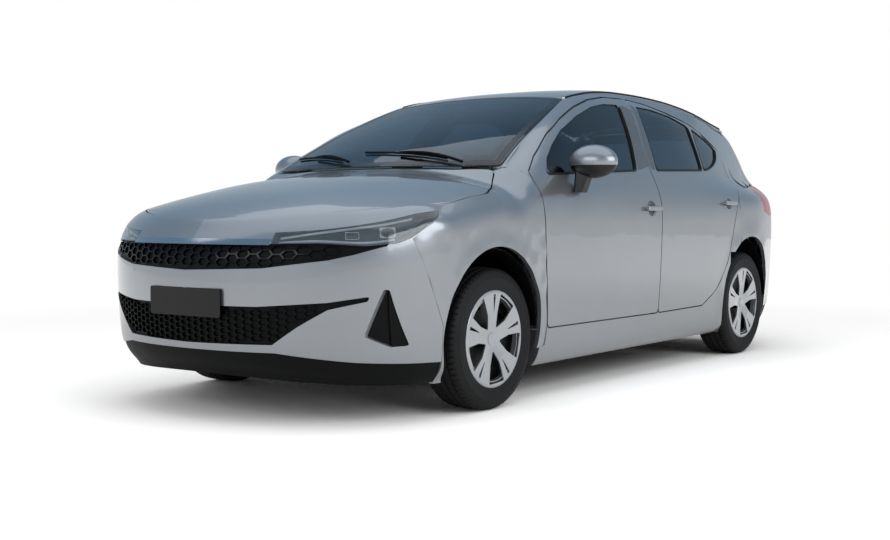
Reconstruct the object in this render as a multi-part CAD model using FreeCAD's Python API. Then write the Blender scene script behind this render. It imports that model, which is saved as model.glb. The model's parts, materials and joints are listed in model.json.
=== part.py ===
# Five-door hatchback car, built as separate panels, wheels, seats and running gear.
# Millimetres, +Z up, front of the car to -Y, +X the car's left side.
# The origin is on the ground under the centre of the car.
import FreeCAD, Part
import math
import os

os.makedirs("parts", exist_ok=True)
Vec = FreeCAD.Vector

# Overall sizes
FRONT_OVERHANG = 950.0
WHEELBASE = 2589.0
REAR_OVERHANG = 806.0
HEIGHT = 1488.0
HALF_WIDTH = 874.0
TRACK_FRONT = 1481.0
TRACK_REAR = 1472.0
TYRE_RADIUS = 297.0
TYRE_WIDTH = 185.0
LENGTH = FRONT_OVERHANG + WHEELBASE + REAR_OVERHANG
FRONT_AXLE_Y = FRONT_OVERHANG - LENGTH / 2
ARCH_GAP = 58.0
ARCH_LIFT = 31.0
ARCH_BACK = 30.0
ARCH_RADIUS = TYRE_RADIUS + ARCH_GAP
ARCH_Z = TYRE_RADIUS + ARCH_LIFT
FLARE = 6.0
FLARE_WIDTH = 34.0
CORNER_TAIL = 110.0
SPOILER_EDGE = 24.0
NOSE_EDGE = 50.0
TAIL_BOW = 62.0
NOSE_ROUND = 300.0
OVERRUN = 40.0
SHUT_GAP = 6.0
SEAM = 0.8
SEAT_GAP = 0.3
PANEL = 20.0
GRID = 64.0
PROBE = 0.5
FAN_RAYS = 16
FAN_X_SHARE = 0.38
FAN_Z_SHARE = 0.42
DOME_STEP = 4.0
DOME_PAST = 4.0

# Places along the car are stations: -1 front end, 0 front axle, 1 rear axle, 2 rear end.
# Heights are shares of the car's height, widths are shares of its half-width.
section_shares = (
    (0.1008, 0.9119), (0.1546, 0.9588), (0.2016, 0.968), (0.2688, 0.9783), (0.3495, 0.9874),
    (0.4435, 0.9931), (0.5242, 0.9931), (0.578, 0.9851), (0.6183, 0.968), (0.6552, 0.9428),
    (0.6922, 0.9176), (0.7392, 0.8799), (0.8065, 0.8181), (0.8737, 0.7449), (0.914, 0.6979),
    (0.9543, 0.6499), (0.9812, 0.6178), (1.0215, 0.5721)
)
lower_taper_shares = (
    (-0.4211, 1.0), (0.0, 1.0), (0.1931, 0.994), (0.5021, 0.994), (0.7725, 0.998), (1.0, 1.0),
    (1.1377, 0.996), (1.2618, 0.982), (1.3859, 0.960), (1.5099, 0.932), (1.634, 0.900),
    (1.7581, 0.860), (1.8821, 0.808), (2.031, 0.730)
)
upper_taper_shares = (
    (-0.4211, 0.90), (0.0, 0.93), (0.1159, 0.965), (0.2704, 0.985), (0.5021, 1.0),
    (0.7339, 0.985), (0.8884, 0.946), (1.0136, 0.893), (1.3859, 0.815), (1.7581, 0.725),
    (2.031, 0.660)
)
taper_blend_shares = (0.591, 0.706)
roof_line_shares = (
    (-1.0, 0.4637), (-0.9632, 0.4892), (-0.9379, 0.5108), (-0.8989, 0.5296), (-0.8211, 0.5551),
    (-0.7158, 0.5806), (-0.5789, 0.6062), (-0.4211, 0.629), (-0.2105, 0.6539), (0.0, 0.672),
    (0.0463, 0.6855), (0.0657, 0.7009), (0.1159, 0.7473), (0.1931, 0.8078), (0.2704, 0.8616),
    (0.3476, 0.9099), (0.4322, 0.957), (0.5021, 0.9798), (0.5987, 0.996), (0.6952, 1.0),
    (0.8111, 0.9966), (0.927, 0.9839), (1.1377, 0.961), (1.4479, 0.9341), (1.6712, 0.9113),
    (1.8821, 0.8871), (2.0682, 0.8669)
)
roof_drop_shares = (
    (-1.0, 0.0403), (-0.6316, 0.0323), (-0.3158, 0.0309), (0.0, 0.0282), (0.0657, 0.0417),
    (0.1159, 0.0403), (0.1931, 0.0336), (0.2858, 0.0269), (0.3862, 0.0202), (0.5021, 0.0202),
    (0.6566, 0.0235), (0.8884, 0.0255), (1.3859, 0.0323), (1.6712, 0.0403), (2.0682, 0.047)
)
roof_power_share = 2.3
roof_reach_share = 0.6865
deck_edge_share = 0.26
nose_line_shares = (
    (0.1008, -0.8842), (0.1344, -0.9316), (0.1747, -0.9737), (0.205, -0.9895),
    (0.2554, -0.9958), (0.3024, -1.0), (0.373, -1.0), (0.4469, -0.9895), (0.4839, -0.9558),
    (0.5141, -0.9242), (0.5376, -0.8821), (0.5712, -0.8), (0.6048, -0.6737)
)
nose_power_share = 2.15
tail_line_shares = (
    (0.1344, 1.8821), (0.2016, 1.9442), (0.2823, 1.9913), (0.3763, 2.0), (0.4704, 1.9938),
    (0.5376, 1.9665), (0.6048, 1.9467), (0.672, 1.9293), (0.7124, 1.9094), (0.7728, 1.8375),
    (0.8401, 1.7581), (0.914, 1.6687), (0.9745, 1.5968)
)
tail_power_share = 2.4
shoulder_round_shares = (
    (-0.9474, 0.0739), (0.0, 0.0739), (0.1159, 0.0605), (0.3476, 0.0538), (0.5794, 0.0504),
    (0.927, 0.0504), (1.7581, 0.0538)
)


def along(station):
    """Millimetres behind the front axle."""
    if station < 0:
        return station * FRONT_OVERHANG
    if station <= 1:
        return station * WHEELBASE
    return WHEELBASE + (station - 1) * REAR_OVERHANG


def curve(rows):
    """Smooth curve through rows of (place, value) that never overshoots them."""
    xs = [row[0] for row in rows]
    ys = [row[1] for row in rows]
    last = len(rows) - 1
    gaps = [xs[i + 1] - xs[i] for i in range(last)]
    rise = [(ys[i + 1] - ys[i]) / gaps[i] for i in range(last)]
    slope = [rise[0]] + [0.0] * (last - 1) + [rise[-1]]
    for i in range(1, last):
        before, after = rise[i - 1], rise[i]
        if before * after > 0:
            left = 2 * gaps[i] + gaps[i - 1]
            right = gaps[i] + 2 * gaps[i - 1]
            slope[i] = (left + right) / (left / before + right / after)

    def value(x):
        if x <= xs[0]:
            return ys[0] + slope[0] * (x - xs[0])
        if x >= xs[-1]:
            return ys[-1] + slope[-1] * (x - xs[-1])
        low, high = 0, last
        while high - low > 1:
            middle = (low + high) // 2
            if xs[middle] > x:
                high = middle
            else:
                low = middle
        t = (x - xs[low]) / gaps[low]
        u = 1 - t
        start = ys[low] * (1 + 2 * t) * u * u + slope[low] * gaps[low] * t * u * u
        end = ys[high] * t * t * (3 - 2 * t) - slope[high] * gaps[low] * t * t * u
        return start + end

    return value


def station_rows(shares, size=1.0):
    return [(along(place), value * size) for place, value in shares]


section = curve([(z * HEIGHT, x * HALF_WIDTH) for z, x in section_shares])
lower_taper = curve(station_rows(lower_taper_shares))
upper_taper = curve(station_rows(upper_taper_shares))
roof_line = curve(station_rows(roof_line_shares, HEIGHT))
roof_drop = curve(station_rows(roof_drop_shares, HEIGHT))
shoulder_round = curve(station_rows(shoulder_round_shares, HEIGHT))
nose_line = curve([(z * HEIGHT, along(place)) for z, place in nose_line_shares])
tail_line = curve([(z * HEIGHT, along(place)) for z, place in tail_line_shares])


def step_up(x, low, high):
    """Smooth step from 0 to 1."""
    t = min(max((x - low) / (high - low), 0.0), 1.0)
    return t * t * (3 - 2 * t)


def flare(d, z):
    """How far the arch lips stand out from the flank."""
    lip = 0.0
    for centre in (-ARCH_BACK, WHEELBASE):
        away = (math.hypot(d - centre, z - ARCH_Z) - ARCH_RADIUS) / FLARE_WIDTH
        if abs(away) < 3:
            lip += FLARE * math.exp(-away * away)
    return lip


def side(d, z):
    """Half-width of the body's flank."""
    low, high = [share * HEIGHT for share in taper_blend_shares]
    share = step_up(z, low, high)
    taper = lower_taper(d) * (1 - share) + upper_taper(d) * share
    return section(z) * taper


def top(x, d):
    """Height of the bonnet, windscreen and roof."""
    reach = roof_reach_share * HALF_WIDTH
    return roof_line(d) - roof_drop(d) * (abs(x) / reach) ** roof_power_share


def nose(x, z):
    """Front face: its place along the car."""
    deep = -NOSE_ROUND - nose_line(z)
    share = min(abs(x) / section(z), 1.0)
    return -NOSE_ROUND - deep * (1 - share ** nose_power_share) ** (1 / nose_power_share)


def tail(x, z):
    """Rear face: its place along the car."""
    reach = roof_reach_share * HALF_WIDTH
    return tail_line(z) - TAIL_BOW * (abs(x) / reach) ** tail_power_share


def soft_max(a, b, radius):
    meet = max(radius - abs(a - b), 0.0) / radius
    return max(a, b) + meet * meet * radius / 4


def outside(x, d, z):
    """Positive outside the body, negative inside."""
    width = abs(x) - flare(d, z)
    if d < -NOSE_ROUND:
        across = max(nose(width, z) - d, width - section(z))
    else:
        across = width - side(d, z)
    bend = shoulder_round(d)
    if d < -NOSE_ROUND:
        share = step_up(width / section(z), 0.7, 0.95)
        bend = bend * share + NOSE_EDGE * (1 - share)
    if d > WHEELBASE:
        behind = d - tail(x, z)
        share = step_up(behind - across, -CORNER_TAIL / 2, CORNER_TAIL / 2)
        bend = bend * (1 - share) + SPOILER_EDGE * share
        across = soft_max(across, behind, CORNER_TAIL)
    return soft_max(across, z - top(x, d), bend)


def spot(x, d, z):
    return Vec(x, d + FRONT_AXLE_Y, z)


def reach_skin(start, way, far):
    """Walks out from an inner point to the body's skin."""
    near = 0.0
    for _ in range(26):
        middle = (near + far) / 2
        if outside(*[s + w * middle for s, w in zip(start, way)]) < 0:
            near = middle
        else:
            far = middle
    return tuple(s + w * near for s, w in zip(start, way))


def surface(rows):
    sheet = Part.BSplineSurface()
    sheet.interpolate([[spot(*point) for point in row] for row in rows])
    return sheet.toShape()


def steps(start, end):
    count = max(int(abs(end - start) / GRID), 4)
    return [start + (end - start) * i / count for i in range(count + 1)]


def flank(start, end, low, high):
    """The left flank's skin between two places, as a fan of rays in each cross-section.

    low is the height of its lower edge; high(d) gives the (x, z) of its upper edge.
    """
    rows = []
    heart = (FAN_X_SHARE * HALF_WIDTH, FAN_Z_SHARE * HEIGHT)
    for d in steps(start, end):
        foot = reach_skin((0, d, low), (1, 0, 0), HALF_WIDTH + OVERRUN)
        crest = high(d)
        first = math.atan2(low - heart[1], foot[0] - heart[0])
        last = math.atan2(crest[1] - heart[1], crest[0] - heart[0])
        row = []
        for i in range(FAN_RAYS + 1):
            angle = first + (last - first) * i / FAN_RAYS
            way = (math.cos(angle), 0, math.sin(angle))
            row.append(reach_skin((heart[0], d, heart[1]), way, HALF_WIDTH + HEIGHT))
        rows.append(row)
    return surface(rows)


def dome(heart, bearings, heights):
    """Grid of skin points seen from an inner point; bearings run from ahead (0) to the rear (180)."""
    rows = []
    for bearing in bearings:
        turn = math.radians(bearing)
        row = []
        for height in heights:
            rise = math.radians(height)
            flat = math.cos(rise)
            way = (math.sin(turn) * flat, -math.cos(turn) * flat, math.sin(rise))
            row.append(reach_skin(heart, way, LENGTH))
        rows.append(row)
    return rows


def degrees(start, end):
    count = max(int(abs(end - start) / DOME_STEP), 4)
    return [start + (end - start) * i / count for i in range(count + 1)]


def deck_height(x, d):
    """Height of the upper skin; it runs on smoothly past the flank and the nose."""
    width = abs(x)
    bend = shoulder_round(d)
    if d < -NOSE_ROUND:
        share = step_up(width / section(top(x, d)), 0.7, 0.95)
        bend = bend * share + NOSE_EDGE * (1 - share)
    low, high = 0.0, top(x, d) + OVERRUN
    for _ in range(24):
        z = (low + high) / 2
        across = nose(width, z) - d if d < -NOSE_ROUND else width - side(d, z)
        across = min(across, -bend * deck_edge_share)
        if soft_max(across, z - top(x, d), bend) < 0:
            low = z
        else:
            high = z
    return low


def deck(half, start, end):
    """The upper skin from side to side between two places, which may bend with x."""
    rows = []
    longest = max(end(x) - start(x) for x in steps(0, half))
    for x in steps(-half, half):
        row = []
        for share in steps(0, longest):
            d = start(x) + (end(x) - start(x)) * share / longest
            row.append((x, d, deck_height(x, d)))
        rows.append(row)
    return surface(rows)


def inward(point, depth):
    """Moves a skin point into the body, square to the skin."""
    slope = []
    for i in range(3):
        near, far = list(point), list(point)
        near[i] -= PROBE
        far[i] += PROBE
        slope.append(outside(*far) - outside(*near))
    size = math.sqrt(sum(s * s for s in slope))
    return tuple(p - s / size * depth for p, s in zip(point, slope))


def shell(rows, depth, thick):
    """Solid plate under a grid of skin points, square to the skin."""
    outer = surface([[inward(p, depth) for p in row] for row in rows] if depth else rows)
    inner = surface([[inward(p, depth + thick) for p in row] for row in rows])
    faces = [outer, inner]
    for one, two in zip(outer.Edges, inner.Edges):
        faces.append(Part.makeRuledSurface(one, two))
    hull = Part.makeShell(faces)
    hull.sewShape()
    solid = Part.makeSolid(hull)
    if solid.Volume < 0:
        hull.reverse()
        solid = Part.makeSolid(hull)
    return solid


def layer(face, way, depth, thick):
    """A plate of even thickness, some depth behind a skin."""
    moved = face.copy()
    moved.translate(Vec(*way) * depth)
    return moved.extrude(Vec(*way) * thick)


def rounded(points, radius, lift):
    """Closed wire through points (a, b) or (a, b, share of the corner radius)."""
    corners = []
    count = len(points)
    for i in range(count):
        a, b = points[i][0], points[i][1]
        size = radius * (points[i][2] if len(points[i]) > 2 else 1)
        back = (points[i - 1][0] - a, points[i - 1][1] - b)
        on = (points[(i + 1) % count][0] - a, points[(i + 1) % count][1] - b)
        back_size, on_size = math.hypot(*back), math.hypot(*on)
        back = (back[0] / back_size, back[1] / back_size)
        on = (on[0] / on_size, on[1] / on_size)
        cosine = max(min(back[0] * on[0] + back[1] * on[1], 1.0), -1.0)
        half = math.acos(cosine) / 2
        if size <= 0 or math.cos(half) < 0.004:
            corners.append([lift(a, b)])
            continue
        cut = min(size / math.tan(half), 0.45 * min(back_size, on_size))
        size = cut * math.tan(half)
        middle = (back[0] + on[0], back[1] + on[1])
        middle_size = math.hypot(*middle)
        reach = (size / math.sin(half) - size) / middle_size
        corners.append([lift(a + back[0] * cut, b + back[1] * cut),
                        lift(a + middle[0] * reach, b + middle[1] * reach),
                        lift(a + on[0] * cut, b + on[1] * cut)])
    edges = []
    for i in range(count):
        here, after = corners[i], corners[(i + 1) % count]
        if len(here) == 3:
            edges.append(Part.Arc(*here).toShape())
        if (here[-1] - after[0]).Length > 0.01:
            edges.append(Part.makeLine(here[-1], after[0]))
    return Part.Wire(edges)


def across_prism(points, low, high, radius=0.0):
    """Prism along X over an outline of (d, z)."""
    wire = rounded(points, radius, lambda d, z: spot(low, d, z))
    return Part.Face(wire).extrude(Vec(high - low, 0, 0))


def long_prism(points, low, high, radius=0.0):
    """Prism along Y over an outline of (x, z)."""
    wire = rounded(points, radius, lambda x, z: spot(x, low, z))
    return Part.Face(wire).extrude(Vec(0, high - low, 0))


def tall_prism(points, low, high, radius=0.0):
    """Prism along Z over an outline of (x, d)."""
    wire = rounded(points, radius, lambda x, d: spot(x, d, low))
    return Part.Face(wire).extrude(Vec(0, 0, high - low))


def grown(points, gap):
    """Outline moved outwards by a gap; a negative gap moves it inwards."""
    count = len(points)
    area = 0.0
    for i in range(count):
        area += points[i - 1][0] * points[i][1] - points[i][0] * points[i - 1][1]
    turn = 1 if area > 0 else -1
    moved = []
    for i in range(count):
        a = points[i]
        normals = []
        for p, q in ((points[i - 1], a), (a, points[(i + 1) % count])):
            dx, dy = q[0] - p[0], q[1] - p[1]
            size = math.hypot(dx, dy)
            normals.append((dy / size * turn, -dx / size * turn))
        nx, ny = normals[0][0] + normals[1][0], normals[0][1] + normals[1][1]
        scale = 2 / max(nx * nx + ny * ny, 0.5)
        moved.append((a[0] + nx * gap * scale, a[1] + ny * gap * scale) + tuple(a[2:]))
    return moved


def flank_points(shares):
    return [(along(row[0]), row[1] * HEIGHT) + tuple(row[2:]) for row in shares]


def front_points(shares):
    return [(row[0] * HALF_WIDTH, row[1] * HEIGHT) + tuple(row[2:]) for row in shares]


def plan_points(shares):
    return [(row[0] * HALF_WIDTH, along(row[1])) + tuple(row[2:]) for row in shares]


def both_sides(points):
    """Closes a left half outline with its mirror image; starts and ends on x = 0."""
    return list(points) + [(-p[0],) + tuple(p[1:]) for p in reversed(points) if p[0] > 0]


def mirrored(shape):
    return shape.mirror(Vec(0, 0, 0), Vec(1, 0, 0))


def box(x0, x1, d0, d1, z0, z1):
    return Part.makeBox(x1 - x0, d1 - d0, z1 - z0, spot(x0, d0, z0))


def rod(x, d, z, radius, length, way):
    return Part.makeCylinder(radius, length, spot(x, d, z), Vec(*way))


def ring(x, d, z, outer, inner, length, way):
    return rod(x, d, z, outer, length, way).cut(rod(x, d, z, inner, length, way))


def fused(shapes):
    whole = shapes[0]
    for shape in shapes[1:]:
        whole = whole.fuse(shape)
    return whole.removeSplitter()


def largest(shape):
    return max(shape.Solids, key=lambda solid: solid.Volume)


def save(name, shapes):
    """Writes the solids of one sub-part to its own STEP file."""
    solids = []
    for shape in shapes:
        solids += shape.Solids
    body = solids[0] if len(solids) == 1 else Part.makeCompound(solids)
    body.exportStep(os.path.join("parts", name + ".step"))


INWARD = (-1, 0, 0)
DOWN = (0, 0, -1)
BACK = (0, 1, 0)
FORWARD = (0, -1, 0)

# Doors: outer plate, glass and the deeper lower part
DOOR_CORNER = 22.0
DOOR_DEPTH = 68.0
DOOR_PLATE = 22.0
DOOR_INSET = 46.0
GLASS = 4.0
GLASS_DEPTH = 7.0
GLASS_BITE = 6.0
DOOR_MARGIN = 60.0
HINGE_FRONT_SHARE = 0.1371
HINGE_REAR_SHARE = 0.5659

pillar_line_shares = (
    (0.5624, 0.2117), (0.5601, 0.4032, 9), (0.5639, 0.5612, 9), (0.5655, 0.6237, 9),
    (0.5608, 0.672, 9), (0.5585, 0.7023, 9), (0.5755, 0.7829, 9), (0.6165, 0.9012, 9),
    (0.628, 0.9523)
)
front_door_rest_shares = (
    (0.5794, 0.9496, 9), (0.5292, 0.9469, 9), (0.4585, 0.9294, 9), (0.3944, 0.8992, 9),
    (0.314, 0.8474, 9), (0.2491, 0.797, 9), (0.1699, 0.7198, 2), (0.1333, 0.672, 1),
    (0.1259, 0.6384, 2), (0.1294, 0.5887, 9), (0.1371, 0.4032, 9), (0.1514, 0.2137)
)
front_window_shares = (
    (0.1738, 0.6667), (0.4998, 0.6922), (0.5465, 0.8394, 9), (0.5744, 0.9267),
    (0.5052, 0.922, 9), (0.4473, 0.9052, 9), (0.3669, 0.8649, 9), (0.2851, 0.8098, 9),
    (0.2317, 0.7594, 9), (0.1951, 0.7164, 2)
)
rear_door_rest_shares = (
    (0.7095, 0.9435, 9), (0.7968, 0.922, 9), (0.8946, 0.8858, 9), (0.954, 0.8427, 9),
    (0.9996, 0.7977, 2), (1.0136, 0.7527, 3), (1.0012, 0.6989, 3), (0.9838, 0.6519, 9),
    (0.9463, 0.6048, 9), (0.92, 0.5618, 9), (0.9, 0.4704, 9), (0.8725, 0.3589, 9),
    (0.8304, 0.2688, 9), (0.7632, 0.2157)
)
rear_window_shares = (
    (0.5879, 0.6969), (0.8266, 0.7083), (0.8509, 0.8044, 9), (0.8718, 0.8804),
    (0.8038, 0.9113, 9), (0.7246, 0.9281, 9), (0.6516, 0.9308), (0.6149, 0.8132, 9)
)
quarter_window_shares = (
    (0.8366, 0.7097), (0.8613, 0.7124, 2), (0.9115, 0.7292, 3), (0.9579, 0.756, 3),
    (0.9857, 0.7997, 1), (0.954, 0.8353, 9), (0.8884, 0.8743), (0.8613, 0.8044, 9)
)
FRONT_DOOR = flank_points(pillar_line_shares + front_door_rest_shares)
REAR_DOOR = [(d + SHUT_GAP, z) + tuple(rest) for d, z, *rest in flank_points(pillar_line_shares)]
REAR_DOOR += flank_points(rear_door_rest_shares)


# Rail: where the side frame meets the windscreen, roof and rear glass
rail_shares = (
    (0.0966, 0.7895), (0.1136, 0.7769), (0.1939, 0.73), (0.2827, 0.6899), (0.3476, 0.6499),
    (0.4079, 0.6087), (0.5021, 0.6064), (0.7725, 0.6064), (1.0136, 0.6064), (1.4479, 0.6178),
    (1.6216, 0.6407), (1.7581, 0.6865)
)
rail_x = curve([(along(place), x * HALF_WIDTH) for place, x in rail_shares])
SILL_BOTTOM = 190.0
WAIST = 980.0


def rail(d):
    x = rail_x(d)
    return x, reach_skin((x, d, WAIST / 2), (0, 0, 1), HEIGHT)[2]


def body_skin(start, end, low=SILL_BOTTOM):
    return flank(start, end, low, rail)


def span(points):
    return min(p[0] for p in points), max(p[0] for p in points)


def door(points, windows):
    """Outer plate with its windows cut, the deep lower part, and the glass."""
    start, end = span(points)
    skin = body_skin(start - OVERRUN, end + OVERRUN)
    outline = across_prism(points, 0, HALF_WIDTH + OVERRUN, DOOR_CORNER)
    plate = layer(skin, INWARD, 0, DOOR_PLATE).common(outline)
    inner = across_prism(grown(points, -DOOR_INSET), 0, HALF_WIDTH, DOOR_CORNER)
    low = box(0, HALF_WIDTH, start, end, 0, WAIST)
    core = layer(skin, INWARD, DOOR_PLATE / 2, DOOR_DEPTH - DOOR_PLATE / 2).common(inner).common(low)
    panes = []
    for window in windows:
        hole = across_prism(window, 0, HALF_WIDTH + OVERRUN, DOOR_CORNER)
        plate = plate.cut(hole)
        core = core.cut(hole)
        seat = across_prism(grown(window, GLASS_BITE), 0, HALF_WIDTH + OVERRUN, DOOR_CORNER)
        pane = layer(skin, INWARD, GLASS_DEPTH, GLASS).common(seat)
        plate = plate.cut(pane)
        panes.append(pane)
    return plate.fuse(core), panes


# Front doors, rear doors
front_door, front_glass = door(FRONT_DOOR, [flank_points(front_window_shares)])
rear_door, rear_glass = door(REAR_DOOR, [flank_points(rear_window_shares),
                                         flank_points(quarter_window_shares)])

# Handles: a bar across a cup in each door
HANDLE_LONG = 150.0
HANDLE_TALL = 24.0
HANDLE_THICK = 16.0
HANDLE_OUT = 26.0
HANDLE_FOOT = 22.0
CUP_DEEP = 16.0
CUP_LONG = 46.0
CUP_TALL = 40.0
handle_shares = ((0.5225, 0.566), (0.884, 0.588))


def handle(d, z):
    x = reach_skin((0, d, z), (1, 0, 0), HALF_WIDTH)[0] + HANDLE_OUT
    bar = box(x - HANDLE_THICK, x, d - HANDLE_LONG / 2, d + HANDLE_LONG / 2,
              z - HANDLE_TALL / 2, z + HANDLE_TALL / 2)
    bar = bar.makeFillet(HANDLE_THICK / 3, bar.Edges)
    feet = []
    for end in (-1, 1):
        middle = d + end * (HANDLE_LONG - HANDLE_FOOT * 1.5) / 2
        feet.append(box(x - HANDLE_THICK / 2 - HANDLE_OUT * 1.6, x - HANDLE_THICK / 2,
                        middle - HANDLE_FOOT / 2, middle + HANDLE_FOOT / 2,
                        z - HANDLE_TALL / 4, z + HANDLE_TALL / 4))
    return fused([bar] + feet)


def ellipsoid(x, d, z, across, along_car, tall):
    ball_shape = Part.makeSphere(1.0)
    stretch = FreeCAD.Matrix()
    stretch.scale(across, along_car, tall)
    ball_shape = ball_shape.transformGeometry(stretch)
    ball_shape.translate(spot(x, d, z))
    return ball_shape


def with_handle(panel, place):
    """Cuts the finger cup into a door and adds its handle."""
    d, z = along(place[0]), place[1] * HEIGHT
    x = reach_skin((0, d, z), (1, 0, 0), HALF_WIDTH)[0]
    panel = panel.cut(ellipsoid(x, d, z, CUP_DEEP, CUP_LONG, CUP_TALL))
    return panel.fuse(handle(d, z))


front_door = with_handle(front_door, handle_shares[0])
rear_door = with_handle(rear_door, handle_shares[1])
save("front_door_left", [front_door])
save("front_door_right", [mirrored(front_door)])
save("rear_door_left", [rear_door])
save("rear_door_right", [mirrored(rear_door)])
save("front_door_glass_left", front_glass)
save("front_door_glass_right", [mirrored(pane) for pane in front_glass])
save("rear_door_glass_left", rear_glass)
save("rear_door_glass_right", [mirrored(pane) for pane in rear_glass])

# Side frame: sill, pillars, roof rail and rear quarter
fender_shares = (
    (-0.5611, 0.4852), (-0.3853, 0.5598), (-0.32, 0.5793), (-0.1684, 0.5941, 9),
    (-0.0168, 0.6048, 9), (0.0309, 0.6216, 9), (0.0653, 0.6405, 9), (0.0927, 0.672),
    (0.1136, 0.6882), (0.1228, 0.662), (0.1236, 0.6384, 9), (0.1271, 0.5887, 9),
    (0.1348, 0.4032, 9), (0.1491, 0.2097), (0.1468, 0.1613), (0.1012, 0.1512),
    (0.0966, 0.1008), (-0.4, 0.1008), (-0.4126, 0.2581)
)
FENDER = flank_points(fender_shares)
ROOF_GAP = 3.0
roof_half_shares = (
    (0.0, 0.4249), (0.3432, 0.4202, 9), (0.5892, 0.4098), (0.5973, 0.5021, 9),
    (0.5973, 0.7725, 9), (0.5973, 1.0136, 9), (0.5995, 1.4417), (0.0, 1.4541)
)
tailgate_half_shares = (
    (0.0, 0.4032), (0.6064, 0.4073), (0.6407, 0.5376, 3), (0.6327, 0.662, 3),
    (0.6178, 0.7124, 9), (0.5778, 0.793, 9), (0.5446, 0.8522, 9), (0.5286, 0.879, 9),
    (0.4577, 0.8925, 9), (0.0, 0.9073)
)
spoiler_half_shares = (
    (0.0, 1.4677), (0.5378, 1.4541), (0.5469, 1.572), (0.4577, 1.6439, 3), (0.0, 1.6613)
)
SPOILER = both_sides(plan_points(spoiler_half_shares))
TAILGATE = both_sides(front_points(tailgate_half_shares))
ROOF = both_sides(plan_points(roof_half_shares))
roof_hole = tall_prism(grown(ROOF, ROOF_GAP), WAIST, HEIGHT + OVERRUN)
SCREEN = 6.0
SCREEN_CORNER = 30.0
SCREEN_REACH_SHARE = 0.8
SCREEN_START_SHARE = 0.03
SCREEN_END_SHARE = 0.44
ROOF_PLATE = 16.0
ROOF_REACH_SHARE = 0.64
ROOF_START_SHARE = 0.4
ROOF_END_SHARE = 1.7
screen_half_shares = (
    (0.0, 0.0579), (0.286, 0.0649, 9), (0.5492, 0.0819, 9), (0.7597, 0.1112),
    (0.714, 0.1939, 9), (0.6739, 0.2827, 9), (0.6339, 0.3476, 9), (0.5927, 0.4063),
    (0.3432, 0.4171, 9), (0.0, 0.4218)
)
SCREEN_OUTLINE = both_sides(plan_points(screen_half_shares))
screen_face = deck(HALF_WIDTH * SCREEN_REACH_SHARE, lambda x: along(SCREEN_START_SHARE),
                   lambda x: along(SCREEN_END_SHARE))
roof_face = deck(HALF_WIDTH * ROOF_REACH_SHARE, lambda x: along(ROOF_START_SHARE),
                 lambda x: along(ROOF_END_SHARE))
screen_seat = layer(screen_face, DOWN, -SEAT_GAP, SCREEN + 2 * SEAT_GAP).common(
    tall_prism(grown(SCREEN_OUTLINE, ROOF_GAP), WAIST, HEIGHT + OVERRUN))
roof_seat = layer(roof_face, DOWN, -SEAT_GAP, ROOF_PLATE + 2 * SEAT_GAP).common(roof_hole)
FRAME_OUTER = 42.0
FRAME_DEPTH = 75.0
FRAME_THICK = 30.0
FRAME_UPPER = 34.0
FRAME_UPPER_THICK = 44.0
SILL_TOP = 308.0
SILL_BELOW = 150.0
SILL_START_SHARE = 0.1294
FENDER_ROOM = 5.0
SILL_END_SHARE = 0.99
FRAME_START_SHARE = 0.1095
QUARTER_END_SHARE = 0.93
QUARTER_START_SHARE = 0.945
QUARTER_HEART_SHARE = 0.9
LINER_RADIUS = ARCH_RADIUS - 7.0
LINER = 4.0
LINER_STEP = 756.0
LINER_DEEP = 15.0
LINER_SHIFT = 8.0
inner_d = -ARCH_BACK + LINER_SHIFT
inner_radius = LINER_RADIUS + LINER_DEEP + LINER_SHIFT
quarter_end_shares = (
    (0.1012, 0.0672), (0.8884, 0.0672), (0.8884, 0.4032), (1.2618, 0.4032), (1.361, 0.336),
    (1.4231, 0.3495), (1.4553, 0.4032), (1.5285, 0.5175), (1.5223, 0.5376), (1.3176, 0.5578),
    (1.299, 0.6082), (1.3362, 0.6505), (1.5844, 0.6694), (2.0062, 0.666), (2.0062, 1.0081),
    (0.1012, 1.0081)
)
skin = flank(along(FRAME_START_SHARE), along(QUARTER_START_SHARE) + OVERRUN, SILL_BELOW, rail)
region = across_prism(flank_points(quarter_end_shares), 0, HALF_WIDTH + OVERRUN)
outer = layer(skin, INWARD, 0, FRAME_OUTER).common(region)
outer = outer.common(box(0, HALF_WIDTH + OVERRUN, 0, along(QUARTER_START_SHARE), 0, HEIGHT))
quarter_rows = dome((0, along(QUARTER_HEART_SHARE), HEIGHT / 2), degrees(88, 152), degrees(-32, 50))
quarter = shell(quarter_rows, 0, PANEL).common(region)
quarter = quarter.common(
    box(0, HALF_WIDTH + OVERRUN, along(QUARTER_START_SHARE) - SEAM, LENGTH, 0, HEIGHT))
quarter = quarter.cut([long_prism(grown(TAILGATE, SHUT_GAP), WHEELBASE, LENGTH), roof_hole,
                       tall_prism(grown(SPOILER, SHUT_GAP), WAIST, HEIGHT)])
lower = layer(skin, INWARD, FRAME_DEPTH, FRAME_THICK).common(region)
lower = lower.common(box(0, HALF_WIDTH, 0, along(QUARTER_END_SHARE), SILL_BELOW, WAIST + OVERRUN))
upper = layer(skin, INWARD, FRAME_UPPER, FRAME_UPPER_THICK).common(region)
upper = upper.common(box(0, HALF_WIDTH, 0, along(QUARTER_END_SHARE), WAIST, HEIGHT))
sill = layer(skin, INWARD, 0, FRAME_DEPTH + FRAME_THICK).common(
    box(0, HALF_WIDTH, along(SILL_START_SHARE), along(SILL_END_SHARE), SILL_BELOW, SILL_TOP))
sill = sill.common(region)
sill = sill.cut(layer(skin, INWARD, 0, PANEL + FENDER_ROOM).common(
    across_prism(grown(FENDER, SEAM), 0, HALF_WIDTH + OVERRUN)))
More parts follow.
